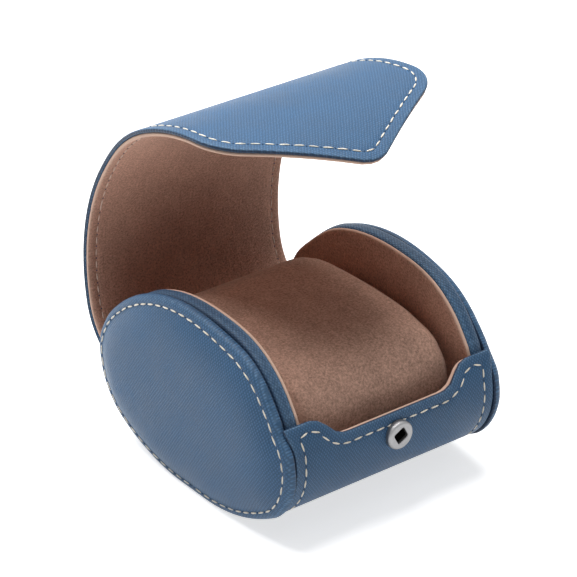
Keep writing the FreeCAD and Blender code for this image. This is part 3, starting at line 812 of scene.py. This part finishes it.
# %% Closed sheets
SEAM_INSET, LINING_SHY = 3.3, 0.3
EDGE_STEPS = np.array([0, 0.05, 0.16, 0.34, 0.6, 1.0, 1.6, 2.2, 2.7, 3.0, 3.3, 3.6, 3.9, 4.4, 5.2,
                       6.5, 8.5])
MIDDLE_COLUMNS = 24
GROOVE_DEEP, GROOVE_WIDE, WEAR_HIGHLIGHT_FADE = 0.22, 0.62, 0.55
KINDS = {"leather": LEATHER, "suede": SUEDE}


def draw_in(edge, thick):
    """How much of its thickness a sheet keeps near its rounded edge."""
    near = np.clip(edge / (thick / 2), 0, 1)
    return np.sqrt(1 - (1 - near) ** 2)


def sheet(span, kind, across, along, edge, top, under):
    """Closed sheet from depth top to depth under, with the seam's groove on its seen face."""
    edge = np.maximum(edge, 0)
    middle, thick = (top + under) / 2, np.max(np.abs(under - top))
    keep = draw_in(edge, thick)
    lining = kind == "suede"
    seam = SEAM_INSET - LINING_SHY if lining else SEAM_INSET
    groove = GROOVE_DEEP * bell(edge - seam, GROOVE_WIDE)
    upper = on_flap(along, across, middle + (top - middle) * keep + (0 if lining else groove))
    lower = on_flap(along, across, middle + (under - middle) * keep - (groove if lining else 0))
    rows, columns = along.shape
    total = rows * columns
    faces = []
    for r in range(rows - 1):
        for c in range(columns - 1):
            a = r * columns + c
            quad = (a, a + columns, a + columns + 1, a + 1)
            faces += [quad, tuple(total + v for v in (a, a + 1, a + columns + 1, a + columns))]
    for row, last in ((0, False), (rows - 1, True)):
        if edge[row].max() > SEAM_INSET:
            for a in range(row * columns, (row + 1) * columns - 1):
                quad = (a, total + a, total + a + 1, a + 1)
                faces.append(quad if last else quad[::-1])
    laid = np.stack([across, along], -1).reshape(-1, 2)
    # Near each edge, the sheet rubs toward the pale tone, which on the leather is wear and a
    # painted highlight on the rolled edge. At the edge itself, it takes the cut tone.
    edge_wear_highlight = np.exp(-edge / WEAR_HIGHLIGHT_FADE).ravel()
    return piece(f"{span}_{kind}", np.vstack([upper.reshape(-1, 3), lower.reshape(-1, 3)]), faces,
                 np.vstack([laid, laid]), np.concatenate([edge_wear_highlight, edge_wear_highlight]), KINDS[kind])


def columns_to(half):
    """Distances across a sheet, close together near both edges."""
    middle = np.linspace(-half + EDGE_STEPS[-1], half - EDGE_STEPS[-1], MIDDLE_COLUMNS)[1:-1]
    return np.concatenate([-half + EDGE_STEPS, middle, (half - EDGE_STEPS)[::-1]])

# %% Three spans
LID_CUT, FRONT_CUT = 50.0, 108.7
CUT_ROWS = np.array([0.0, 0.2, 0.5])
ROW, LAST_ROW, SAG_RUN = 1.1, 0.9, 30.0
TAB_ROWS, TAB_RIM_POINTS = 22, 900
LIP_FLARE, LIP_FLARE_RUN = 1.4, 9.0
TAB_FLARE_FROM, TAB_FLARE_TO = 66.0, 107.0


def full_half(along):
    """The leather's half width, which flares over the discs at the lip's corners and at the tab."""
    lip = LIP_FLARE * (1 - ease(along - lip_start(FLAP_HALF), 0, LIP_FLARE_RUN))
    return FLAP_HALF + lip + (TAB_HALF - FLAP_HALF) * ease(along, TAB_FLARE_FROM, TAB_FLARE_TO)


def wrap_span(kind, half, inset, top, under):
    """From the lip, under the roll and over the hinge, to the cut in the lid."""
    start = lip_start(FLAP_HALF) + inset
    middle = np.arange(EDGE_STEPS[-1] + ROW, LID_CUT - start - LAST_ROW, ROW)
    steps = np.concatenate([EDGE_STEPS, middle, LID_CUT - start - CUT_ROWS[::-1]])
    columns = columns_to(half(LID_CUT))[None, :]
    along = start + steps[:, None] + np.zeros_like(columns)
    across = columns * half(along) / half(LID_CUT)
    sag = lip_start(across[0]) - lip_start(FLAP_HALF)
    along = along + sag[None, :] * (1 - ease(steps, 0, SAG_RUN))[:, None]
    slope = np.gradient(sag, across[0])
    from_lip = (along - start - sag) / np.sqrt(1 + slope ** 2)
    edge = np.minimum(half(along) - np.abs(across), from_lip)
    return sheet("wrap", kind, across, along, edge, top, under(along))


def front_span(kind, inset, top, under):
    """The stretch of lid between the two cuts."""
    first, last = LID_CUT + CUT_ROWS, FRONT_CUT - CUT_ROWS[::-1]
    rows = np.concatenate([first, np.arange(first[-1] + ROW, last[0] - ROW / 2, ROW), last])
    half = full_half(rows)[:, None] - inset
    wide = full_half(LID_CUT) - inset
    across = columns_to(wide)[None, :] * half / wide
    along = np.broadcast_to(rows[:, None], across.shape)
    return sheet("lid_front", kind, across, along, half - np.abs(across), top, under)


def tab_span(kind, inset, top, under):
    """From the second cut to the rounded point."""
    half = TAB_HALF - inset
    across = columns_to(half)
    end = tab_end(across, inset)
    begin = FRONT_CUT + CUT_ROWS[-1]
    inside = np.linspace(0, 1, TAB_ROWS)[1:-1, None]
    middle = begin + inside * (end - EDGE_STEPS[-1] - begin)[None, :]
    along = np.vstack([FRONT_CUT + CUT_ROWS[:, None] + 0 * across, middle,
                       end - EDGE_STEPS[::-1, None]])
    across = np.broadcast_to(across[None, :], along.shape)
    fine = half * np.sin(np.linspace(-math.pi / 2, math.pi / 2, TAB_RIM_POINTS))
    rim = np.stack([fine, tab_end(fine, inset)], -1)
    spots = np.stack([across, along], -1).reshape(-1, 1, 2)
    near = np.min(np.linalg.norm(spots - rim[None, :, :], axis=-1), axis=1).reshape(along.shape)
    edge = np.minimum(near, half - np.abs(across))
    edge[-1] = 0.0
    return sheet("tab_point", kind, across, along, edge, top, under)

# %% Leather and lining
LEATHER_THICK, LINING_BACK, WRAP_BACK = 1.22, 2.5, 3.3
UNDER_LEATHER = LEATHER_THICK + 0.03
PLUG_HALF, LIP_SHY = 29.8, 0.25
FLARE_FROM, FLARE_TO = -1.0, 4.0
THIN_FROM, THIN_TO = -12.0, 0.0


def lining_half(along):
    """Narrow between the end plugs, as wide as the lid above the hinge."""
    return PLUG_HALF + (FLAP_HALF - LINING_SHY - PLUG_HALF) * ease(along, FLARE_FROM, FLARE_TO)


def lining_back(along):
    """Depth of the lining's face, which is deeper in the roll than in the lid."""
    return WRAP_BACK + (LINING_BACK - WRAP_BACK) * ease(along, THIN_FROM, THIN_TO)


flaps = {"wrap_leather": wrap_span("leather", full_half, 0.0, 0.0, lambda along: LEATHER_THICK),
         "lid_front_leather": front_span("leather", 0.0, 0.0, LEATHER_THICK),
         "tab_point_leather": tab_span("leather", 0.0, 0.0, LEATHER_THICK),
         "wrap_suede": wrap_span("suede", lining_half, LIP_SHY, UNDER_LEATHER, lining_back),
         "lid_front_suede": front_span("suede", LINING_SHY, UNDER_LEATHER, LINING_BACK),
         "tab_point_suede": tab_span("suede", LINING_SHY, UNDER_LEATHER, LINING_BACK)}

# %% [markdown]
# ## Stitches
# Cream thread runs along the discs, the lip, the lid and the tab, one long stitch after another
# with a needle hole between, drawn as a small dark dent that is painted shade of the hole. Placing
# hundreds by hand would be dull, so the row is drawn once as a path that carries the direction the
# thread lies against, and Geometry Nodes lays a stitch at every other step of it and a hole at the
# steps between.

# %% The stitch tree
STITCH_LEAST, STITCH_VARY = 0.94, 0.12
GEOMETRY, MATERIAL = "NodeSocketGeometry", "NodeSocketMaterial"


def stitch_tree():
    """Rows in, stitches and needle holes out."""
    sockets = {"Rows": GEOMETRY, "Half Pitch": FLOAT, "Stitch Size": VECTOR, "Hole Size": VECTOR,
               "Sway": FLOAT, "Seed": "NodeSocketInt", "Thread": MATERIAL, "Hole": MATERIAL}
    tree, get, give = group("stitch_row", sockets, {"Stitches": GEOMETRY}, "GeometryNodeTree")

    def named(name, kind):
        node = add(tree, "GeometryNodeInputNamedAttribute", {"Name": name}, data_type=kind)
        return node.outputs["Attribute"]

    path = add(tree, "GeometryNodeMeshToCurve", {"Mesh": get["Rows"]}).outputs[0]
    steps = add(tree, "GeometryNodeResampleCurve", {"Curve": path, "Length": get["Half Pitch"]},
                mode="LENGTH").outputs[0]
    lie = named("lie", "FLOAT_VECTOR")
    along = add(tree, "GeometryNodeInputTangent").outputs["Tangent"]
    aside = vector_node(tree, "CROSS_PRODUCT", lie, along)
    chance = add(tree, "FunctionNodeRandomValue", {"Seed": get["Seed"]},
                 data_type="FLOAT").outputs[1]
    lean = math_node(tree, "MULTIPLY", math_node(tree, "SUBTRACT", chance, 0.5), get["Sway"])
    aim = vector_node(tree, "ADD", along, scaled(tree, aside, lean))
    turn = add(tree, "FunctionNodeAxesToRotation", {"Primary Axis": aim, "Secondary Axis": lie},
               primary_axis="X", secondary_axis="Z").outputs[0]
    order = add(tree, "GeometryNodeSplineParameter").outputs["Index"]
    odd = math_node(tree, "MODULO", order, 2.0)
    even = math_node(tree, "SUBTRACT", 1.0, odd)
    grow = math_node(tree, "MULTIPLY_ADD", chance, STITCH_VARY, STITCH_LEAST)
    ball = add(tree, "GeometryNodeMeshUVSphere", {"Segments": 8, "Rings": 6, "Radius": 0.5})
    stitch, dent = (add(tree, "GeometryNodeTransform",
                        {"Geometry": ball.outputs["Mesh"], "Scale": get[size]}).outputs[0]
                    for size in ("Stitch Size", "Hole Size"))
    # The dents get the hole's finish, which is painted shade.
    hole = add(tree, "GeometryNodeStoreNamedAttribute",
               {"Geometry": dent, "Name": "needle_hole_shade", "Value": True},
               data_type="BOOLEAN", domain="FACE").outputs[0]
    both = add(tree, "GeometryNodeJoinGeometry")
    for pick, shape in ((odd, stitch), (even, hole)):
        laid = add(tree, "GeometryNodeInstanceOnPoints",
                   {"Points": steps, "Selection": pick, "Instance": shape, "Rotation": turn,
                    "Scale": grow})
        tree.links.new(laid.outputs[0], both.inputs[0])
    real = add(tree, "GeometryNodeRealizeInstances", {"Geometry": both.outputs[0]}).outputs[0]
    smooth = add(tree, "GeometryNodeSetShadeSmooth", {0: real}).outputs[0]
    thread = add(tree, "GeometryNodeSetMaterial", {"Geometry": smooth, "Material": get["Thread"]})
    done = add(tree, "GeometryNodeSetMaterial",
               {"Geometry": thread.outputs[0], "Selection": named("needle_hole_shade", "BOOLEAN"),
                "Material": get["Hole"]})
    fill_in(tree, give, {"Stitches": done.outputs[0]})
    return tree


STITCH_TREE = stitch_tree()
STITCH_INPUTS = {item.name: item.identifier for item in STITCH_TREE.interface.items_tree
                 if item.in_out == "INPUT"}
print("stitch inputs", list(STITCH_INPUTS))

# %% Rows become stitches
STITCH_SIZE, SMALL_STITCH = (2.9 * MM, 0.54 * MM, 0.46 * MM), (2.5 * MM, 0.46 * MM, 0.38 * MM)
HOLE_SIZE = (0.5 * MM, 0.42 * MM, 0.22 * MM)
STITCH_SWAY, STITCH_SEED = 0.16, 7
WITHIN_END = 0.9999


def sew(name, runs, size=STITCH_SIZE, thread=THREAD):
    """Stitches along runs of (places in mm, directions the thread lies against, closed or not)."""
    spots, lies, edges, longest, first = [], [], [], 0.0, 0
    for places, lie, closed in runs:
        order = list(range(first, first + len(places))) + ([first] if closed else [])
        edges += zip(order, order[1:])
        first += len(places)
        loop = np.vstack([places, places[:1]]) if closed else places
        longest = max(longest, float(np.linalg.norm(np.diff(loop, axis=0), axis=1).sum()))
        spots.append(places)
        lies.append(np.broadcast_to(lie, places.shape))
    mesh = bpy.data.meshes.new(name)
    mesh.from_pydata((np.vstack(spots) * MM).tolist(), edges, [])
    layer = mesh.attributes.new("lie", "FLOAT_VECTOR", "POINT")
    layer.data.foreach_set("vector", np.vstack(lies).astype(float).ravel())
    made = place_object(name, mesh)
    half_pitch = longest / (2 * round(longest / STITCH_PITCH)) * WITHIN_END * MM
    values = {"Half Pitch": half_pitch, "Stitch Size": size, "Hole Size": HOLE_SIZE,
              "Sway": STITCH_SWAY, "Seed": STITCH_SEED, "Thread": thread, "Hole": HOLE_SHADE}
    sewing = made.modifiers.new("sew", "NODES")
    sewing.node_group = STITCH_TREE
    for title, value in values.items():
        sewing[STITCH_INPUTS[title]] = value
    settled(made)
    print(name, len(made.data.polygons), "faces, half pitch", round(half_pitch / MM, 3))
    return made

# %% Rows on the discs
THREAD_PROUD = 0.1
disc_rows = {}
for end, side in ENDS:
    row = ring_grid([(-DISC_SEAM, SEAM_X + THREAD_PROUD, 1.0)], DISC_REACH[end])[0]
    row[:, 0] *= side
    disc_rows[end] = sew(end + "_disc_stitches", [(row, (side, 0.0, 0.0), True)])

# %% Rows on the flap
ROW_STEP, LIP_POINTS, TAB_POINTS = 0.5, 300, 260
INNER_FROM, INNER_LIP_HALF, CORNER_CUT = 5.0, 27.5, 1.3
TOP_DEPTH = GROOVE_DEEP - THREAD_PROUD
UNDER_DEPTH = LINING_BACK - GROOVE_DEEP + THREAD_PROUD


def flap_run(across, along, depth, inside=False):
    """A row on the flap as places and the direction it lies against."""
    angle = np.interp(along, ALONG, PATH_ANGLE)
    lie = np.stack([0 * angle, np.cos(angle), np.sin(angle)], -1)
    return on_flap(along, across, depth), -lie if inside else lie, False


def lip_row(half):
    """The row below the lip's edge, from side to side."""
    across = np.linspace(-half, half, LIP_POINTS)
    along = lip_start(across)
    slope = np.gradient(along, across)
    run = SEAM_INSET / np.sqrt(1 + slope ** 2)
    return across - slope * run, along + run


def down_side(start, end, side):
    """A row along one side between two lengths."""
    along = np.linspace(start, end, max(int(abs(end - start) / ROW_STEP), 2))
    return side * (full_half(along) - SEAM_INSET), along


def there_and_back(start, turn, middle):
    """One row down the left side to a turn, across the middle row, and up the right side."""
    parts = down_side(start, turn, -1), middle, down_side(turn, start, 1)
    return tuple(np.concatenate(values) for values in zip(*parts))


def both_sides(start, end):
    return [down_side(start, end, side) for side in (-1, 1)]


lip_turn = lip_start(FLAP_HALF) + SEAM_INSET + CORNER_CUT
lip_half = full_half(lip_turn) - SEAM_INSET - CORNER_CUT
tab_half = TAB_HALF - SEAM_INSET
tab_across = tab_half * np.sin(np.linspace(-math.pi / 2, math.pi / 2, TAB_POINTS))
tab_turn = tab_end(np.array([tab_half]), SEAM_INSET)[0] - ROW_STEP
tab_row = there_and_back(FRONT_CUT, tab_turn, (tab_across, tab_end(tab_across, SEAM_INSET)))
front_rows = both_sides(LID_CUT, FRONT_CUT)
OUTER = {"wrap": [there_and_back(LID_CUT, lip_turn, lip_row(lip_half))], "lid_front": front_rows,
         "tab_point": [tab_row]}
INNER = {"wrap": both_sides(INNER_FROM, LID_CUT), "lid_front": front_rows, "tab_point": [tab_row]}
flap_rows = {}
for span, rows in OUTER.items():
    name = span + "_stitches"
    flap_rows[name] = sew(name, [flap_run(*row, TOP_DEPTH) for row in rows])
for span, rows in INNER.items():
    name = span + "_inner_stitches"
    runs = [flap_run(*row, UNDER_DEPTH, inside=True) for row in rows]
    if span == "wrap":
        runs.append(flap_run(*lip_row(INNER_LIP_HALF), WRAP_BACK - TOP_DEPTH, inside=True))
    flap_rows[name] = sew(name, runs, SMALL_STITCH, INNER_THREAD)

# %% [markdown]
# ## The cushion
# A suede bag stuffed with foam, with a flat panel sewn into each end. A blank a little smaller than
# the finished cushion is remeshed, blown up a little as cloth and stretched to its size, which
# softens its corners the way stuffing does. The end seams are pressed in afterwards, because the
# remesh would lose them.

# %% The blank
CUSHION_DEPTH, CUSHION_LOW, CUSHION_HIGH, CUSHION_END = 75.5, 3.7, 48.0, 29.3
CUSHION_SLACK, END_SLACK = 2.5, 2.0
END_ROUND = ((0.0, -5.0), (0.8, -2.4), (2.6, -0.7), (5.0, 0.0))
BLANK_POINTS, BLANK_MIDDLES, MIDDLE_FROM = 96, 10, 9.0


def cushion_blank():
    """Closed roll that is a little smaller than the stuffed cushion."""
    oval = Oval(depth=CUSHION_DEPTH - 2 * CUSHION_SLACK,
                height=CUSHION_HIGH - CUSHION_LOW - 2 * CUSHION_SLACK, foot=10.0,
                side_share=0.42, rise_share=0.13, base=CUSHION_LOW + CUSHION_SLACK)
    spots, out, angle = oval.loop(BLANK_POINTS)
    end = CUSHION_END - END_SLACK
    middles = np.linspace(-end + MIDDLE_FROM, end - MIDDLE_FROM, BLANK_MIDDLES)
    stations = [(-end + x, off) for x, off in END_ROUND] + [(x, 0.0) for x in middles]
    stations += [(end - x, off) for x, off in END_ROUND[::-1]]
    rings = [np.column_stack([np.full(BLANK_POINTS, x), spots + off * out]) for x, off in stations]
    return lofted_piece("cushion", rings, [1, 2], CUSHION_SUEDE)


cushion = cushion_blank()

# %% Stuffing
VOXEL, PRESSURE, FRAMES, CAP = 4.0 * MM, 4.0, 20, 5.0 * MM
NO_MOVE = 1e-9


def places_of(made):
    flat = np.zeros(3 * len(made.data.vertices))
    made.data.vertices.foreach_get("co", flat)
    return flat.reshape(-1, 3)


def stuff(made):
    """Remesh, blow up as cloth for a few frames, and keep each point near where it began."""
    remesh = made.modifiers.new("remesh", "REMESH")
    remesh.mode, remesh.voxel_size = "VOXEL", VOXEL
    settled(made)
    before = places_of(made)
    cloth = made.modifiers.new("stuffing", "CLOTH")
    cloth.settings.use_pressure = True
    cloth.settings.uniform_pressure_force = PRESSURE
    cloth.settings.effector_weights.gravity = 0.0
    for frame_number in range(1, FRAMES + 1):
        scene.frame_set(frame_number)
    settled(made)
    moved = places_of(made) - before
    far = np.linalg.norm(moved, axis=1)
    moved *= np.minimum(1, CAP / np.maximum(far, NO_MOVE))[:, None]
    made.data.vertices.foreach_set("co", (before + moved).ravel())
    scene.frame_set(1)
    print("cushion swelled by up to", round(far.max() / MM, 1), "mm")


stuff(cushion)

# %% Fit and end seams
SEAM_AT, SEAM_DRAW, SEAM_SPREAD = 25.6, 0.7, 0.9
SEAM_FROM, SEAM_FULL = 12.0, 18.0
LINING_CLEAR, LINING_POINTS, BATCHES = -3.6, 720, 40
smooth = cushion.modifiers.new("smooth", "SUBSURF")
smooth.levels = smooth.render_levels = 2
settled(cushion)
spots = places_of(cushion) / MM
low, high = spots.min(0), spots.max(0)
want_low = np.array([-CUSHION_END, -CUSHION_DEPTH / 2, CUSHION_LOW])
want_high = np.array([CUSHION_END, CUSHION_DEPTH / 2, CUSHION_HIGH])
spots = want_low + (spots - low) / (high - low) * (want_high - want_low)
radial = spots[:, 1:] - np.array([0.0, (CUSHION_LOW + CUSHION_HIGH) / 2])
radius = np.linalg.norm(radial, axis=1, keepdims=True)
press = SEAM_DRAW * bell(np.abs(spots[:, 0]) - SEAM_AT, SEAM_SPREAD)
press *= ease(radius[:, 0], SEAM_FROM, SEAM_FULL)
spots[:, 1:] -= radial / np.maximum(radius, 1.0) * press[:, None]
wall, out, angle = CASE.loop(LINING_POINTS)
for part in np.array_split(np.arange(len(spots)), BATCHES):
    gap = spots[part, None, 1:] - wall[None]
    near = np.argmin((gap ** 2).sum(-1), 1)
    off = (gap[np.arange(len(part)), near] * out[near]).sum(-1)
    spots[part, 1:] -= out[near] * np.maximum(off - LINING_CLEAR, 0)[:, None]
cushion.data.vertices.foreach_set("co", (spots * MM).ravel())
cushion.data.update()
cushion.data.shade_smooth()
print("cushion", len(cushion.data.polygons), "faces", np.round(spots.min(0), 1),
      np.round(spots.max(0), 1))

# %% [markdown]
# ## The snap's socket
# A pressed metal cup that stands on the lip, with a rounded rim and a squarish opening that the
# stud is pushed into. Loops are carried from the barrel's back over the rim and down into the
# opening, and they change from round to square on the way. The deeper part of the opening is
# near-black nickel, painted shade inside the hole.

# %% Socket
SOCKET_Y, SOCKET_Z = -45.0, 26.84
SOCKET_POINTS, OPENING_TURN, SQUARENESS, OPENING_RING = 72, math.radians(28), 7.0, 15
ROUND_LOOPS = [(2.9, -4.6), (2.9, -0.5), (4.1, -0.5), (4.3, -0.3), (4.3, 0.9), (4.24, 1.25),
               (4.04, 1.55), (3.72, 1.74), (3.3, 1.8), (3.0, 1.76), (2.85, 1.68), (2.7, 1.68)]
SQUARE_LOOPS = [(2.12, 1.68), (1.98, 1.6), (1.92, 1.4), (1.9, 0.6), (1.95, -0.4)]
BORE_LOOP = (2.0, -2.6)


def socket_piece():
    """Cup with a rounded rim and a squarish opening, from loops of (radius, height)."""
    turn = np.linspace(0, 2 * math.pi, SOCKET_POINTS, endpoint=False)
    c, s = np.abs(np.cos(turn - OPENING_TURN)), np.abs(np.sin(turn - OPENING_TURN))
    square = (c ** SQUARENESS + s ** SQUARENESS) ** (-1 / SQUARENESS)
    plain = np.ones_like(square)
    loops = [(r * plain, h) for r, h in ROUND_LOOPS] + [(r * square, h) for r, h in SQUARE_LOOPS]
    loops.append((BORE_LOOP[0] * plain, BORE_LOOP[1]))
    rings = [np.column_stack([reach * np.cos(turn), np.full(SOCKET_POINTS, SOCKET_Y - height),
                              SOCKET_Z + reach * np.sin(turn)]) for reach, height in loops]
    made = lofted_piece("snap_cup", rings, [0, 2], NICKEL)
    made.data.materials.append(SHADED_NICKEL)
    # The faces deep in the opening take the near-black nickel, as painted shade.
    for face in made.data.polygons:
        face.material_index = int(min(face.vertices) >= OPENING_RING * SOCKET_POINTS)
    return made


snap_cup = socket_piece()

# %% The hole for the socket
PUNCH_RADIUS, PUNCH_REACH, PUNCH_SIDES = 3.0 * MM, 8.0 * MM, 40
punch = bpy.data.meshes.new("punch")
shape = bmesh.new()
along_y = (Matrix.Translation((0, SOCKET_Y * MM, SOCKET_Z * MM))
           @ Matrix.Rotation(math.pi / 2, 4, "X"))
bmesh.ops.create_cone(shape, cap_ends=True, segments=PUNCH_SIDES, radius1=PUNCH_RADIUS,
                      radius2=PUNCH_RADIUS, depth=2 * PUNCH_REACH, matrix=along_y)
shape.to_mesh(punch)
shape.free()
tool = place_object("punch", punch)
for name in ("wrap_leather", "wrap_suede"):
    cut = flaps[name].modifiers.new("punch", "BOOLEAN")
    cut.operation, cut.solver, cut.object = "DIFFERENCE", "EXACT", tool
    settled(flaps[name])
    print(name, "punched,", len(flaps[name].data.vertices), "points")
bpy.data.objects.remove(tool)
bpy.data.meshes.remove(punch)

# %% [markdown]
# ## Joining the pieces to the bodies
# The spans and their stitches are baked in place, and the solids that the spans stand for are
# hidden. The rest is stiff enough to ride on its body.

# %% Bake the spans
FRONT_FROM, FRONT_TO, TAB_FROM, TAB_TO = (on_flap(along, 0.0, 0.0)[1:]
                                          for along in (85.0, 108.0, 109.0, 132.0))
SPAN_NODES = {"wrap_leather": ("body_leather", "body_board", "hinge_strip", "lid_leather",
                               "lid_board"),
              "wrap_suede": ("body_lining", "lid_lining"),
              "lid_front_leather": ("front_leather", "front_board"),
              "lid_front_suede": ("front_lining",),
              "tab_point_leather": ("tab_leather", "tab_board"), "tab_point_suede": ("tab_lining",)}


def bend(made):
    """Bakes a piece's place into its mesh."""
    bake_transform(made)


for name, made in flaps.items():
    span, kind = name.rsplit("_", 1)
    bend(made)
    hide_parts(*SPAN_NODES[name])
for name, made in flap_rows.items():
    bend(made)
print("bent", sorted(flaps), sorted(flap_rows))

# %% Pieces that ride
def ride(made, body, slot, *nodes):
    """Sets a piece on its body, in place of its solids. The slot is not used."""
    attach(made, body)
    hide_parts(*nodes)
    print(made.name, "rides on", body, "for", nodes)


for end, side in ENDS:
    ride(discs[end], "case", "leather", end + "_end_leather", end + "_end_pad",
         end + "_end_backing")
    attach(disc_rows[end], "case")
    ride(hoops[end], "case", "leather", end + "_rim_band")
    ride(end_linings[end], "case", "suede", end + "_end_lining")
ride(cushion, "cushion", "suede", "cushion_core", "cushion_cover", "cushion_left_end",
     "cushion_right_end")
ride(snap_cup, "case", "snap_metal", "snap_socket")

# %% CAD nodes that stay
for name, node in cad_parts.items():
    if not node.hide_render:
        node.data.materials.clear()
        node.data.materials.append(NICKEL if name.startswith("snap") else BOARD)
        print("kept", name)
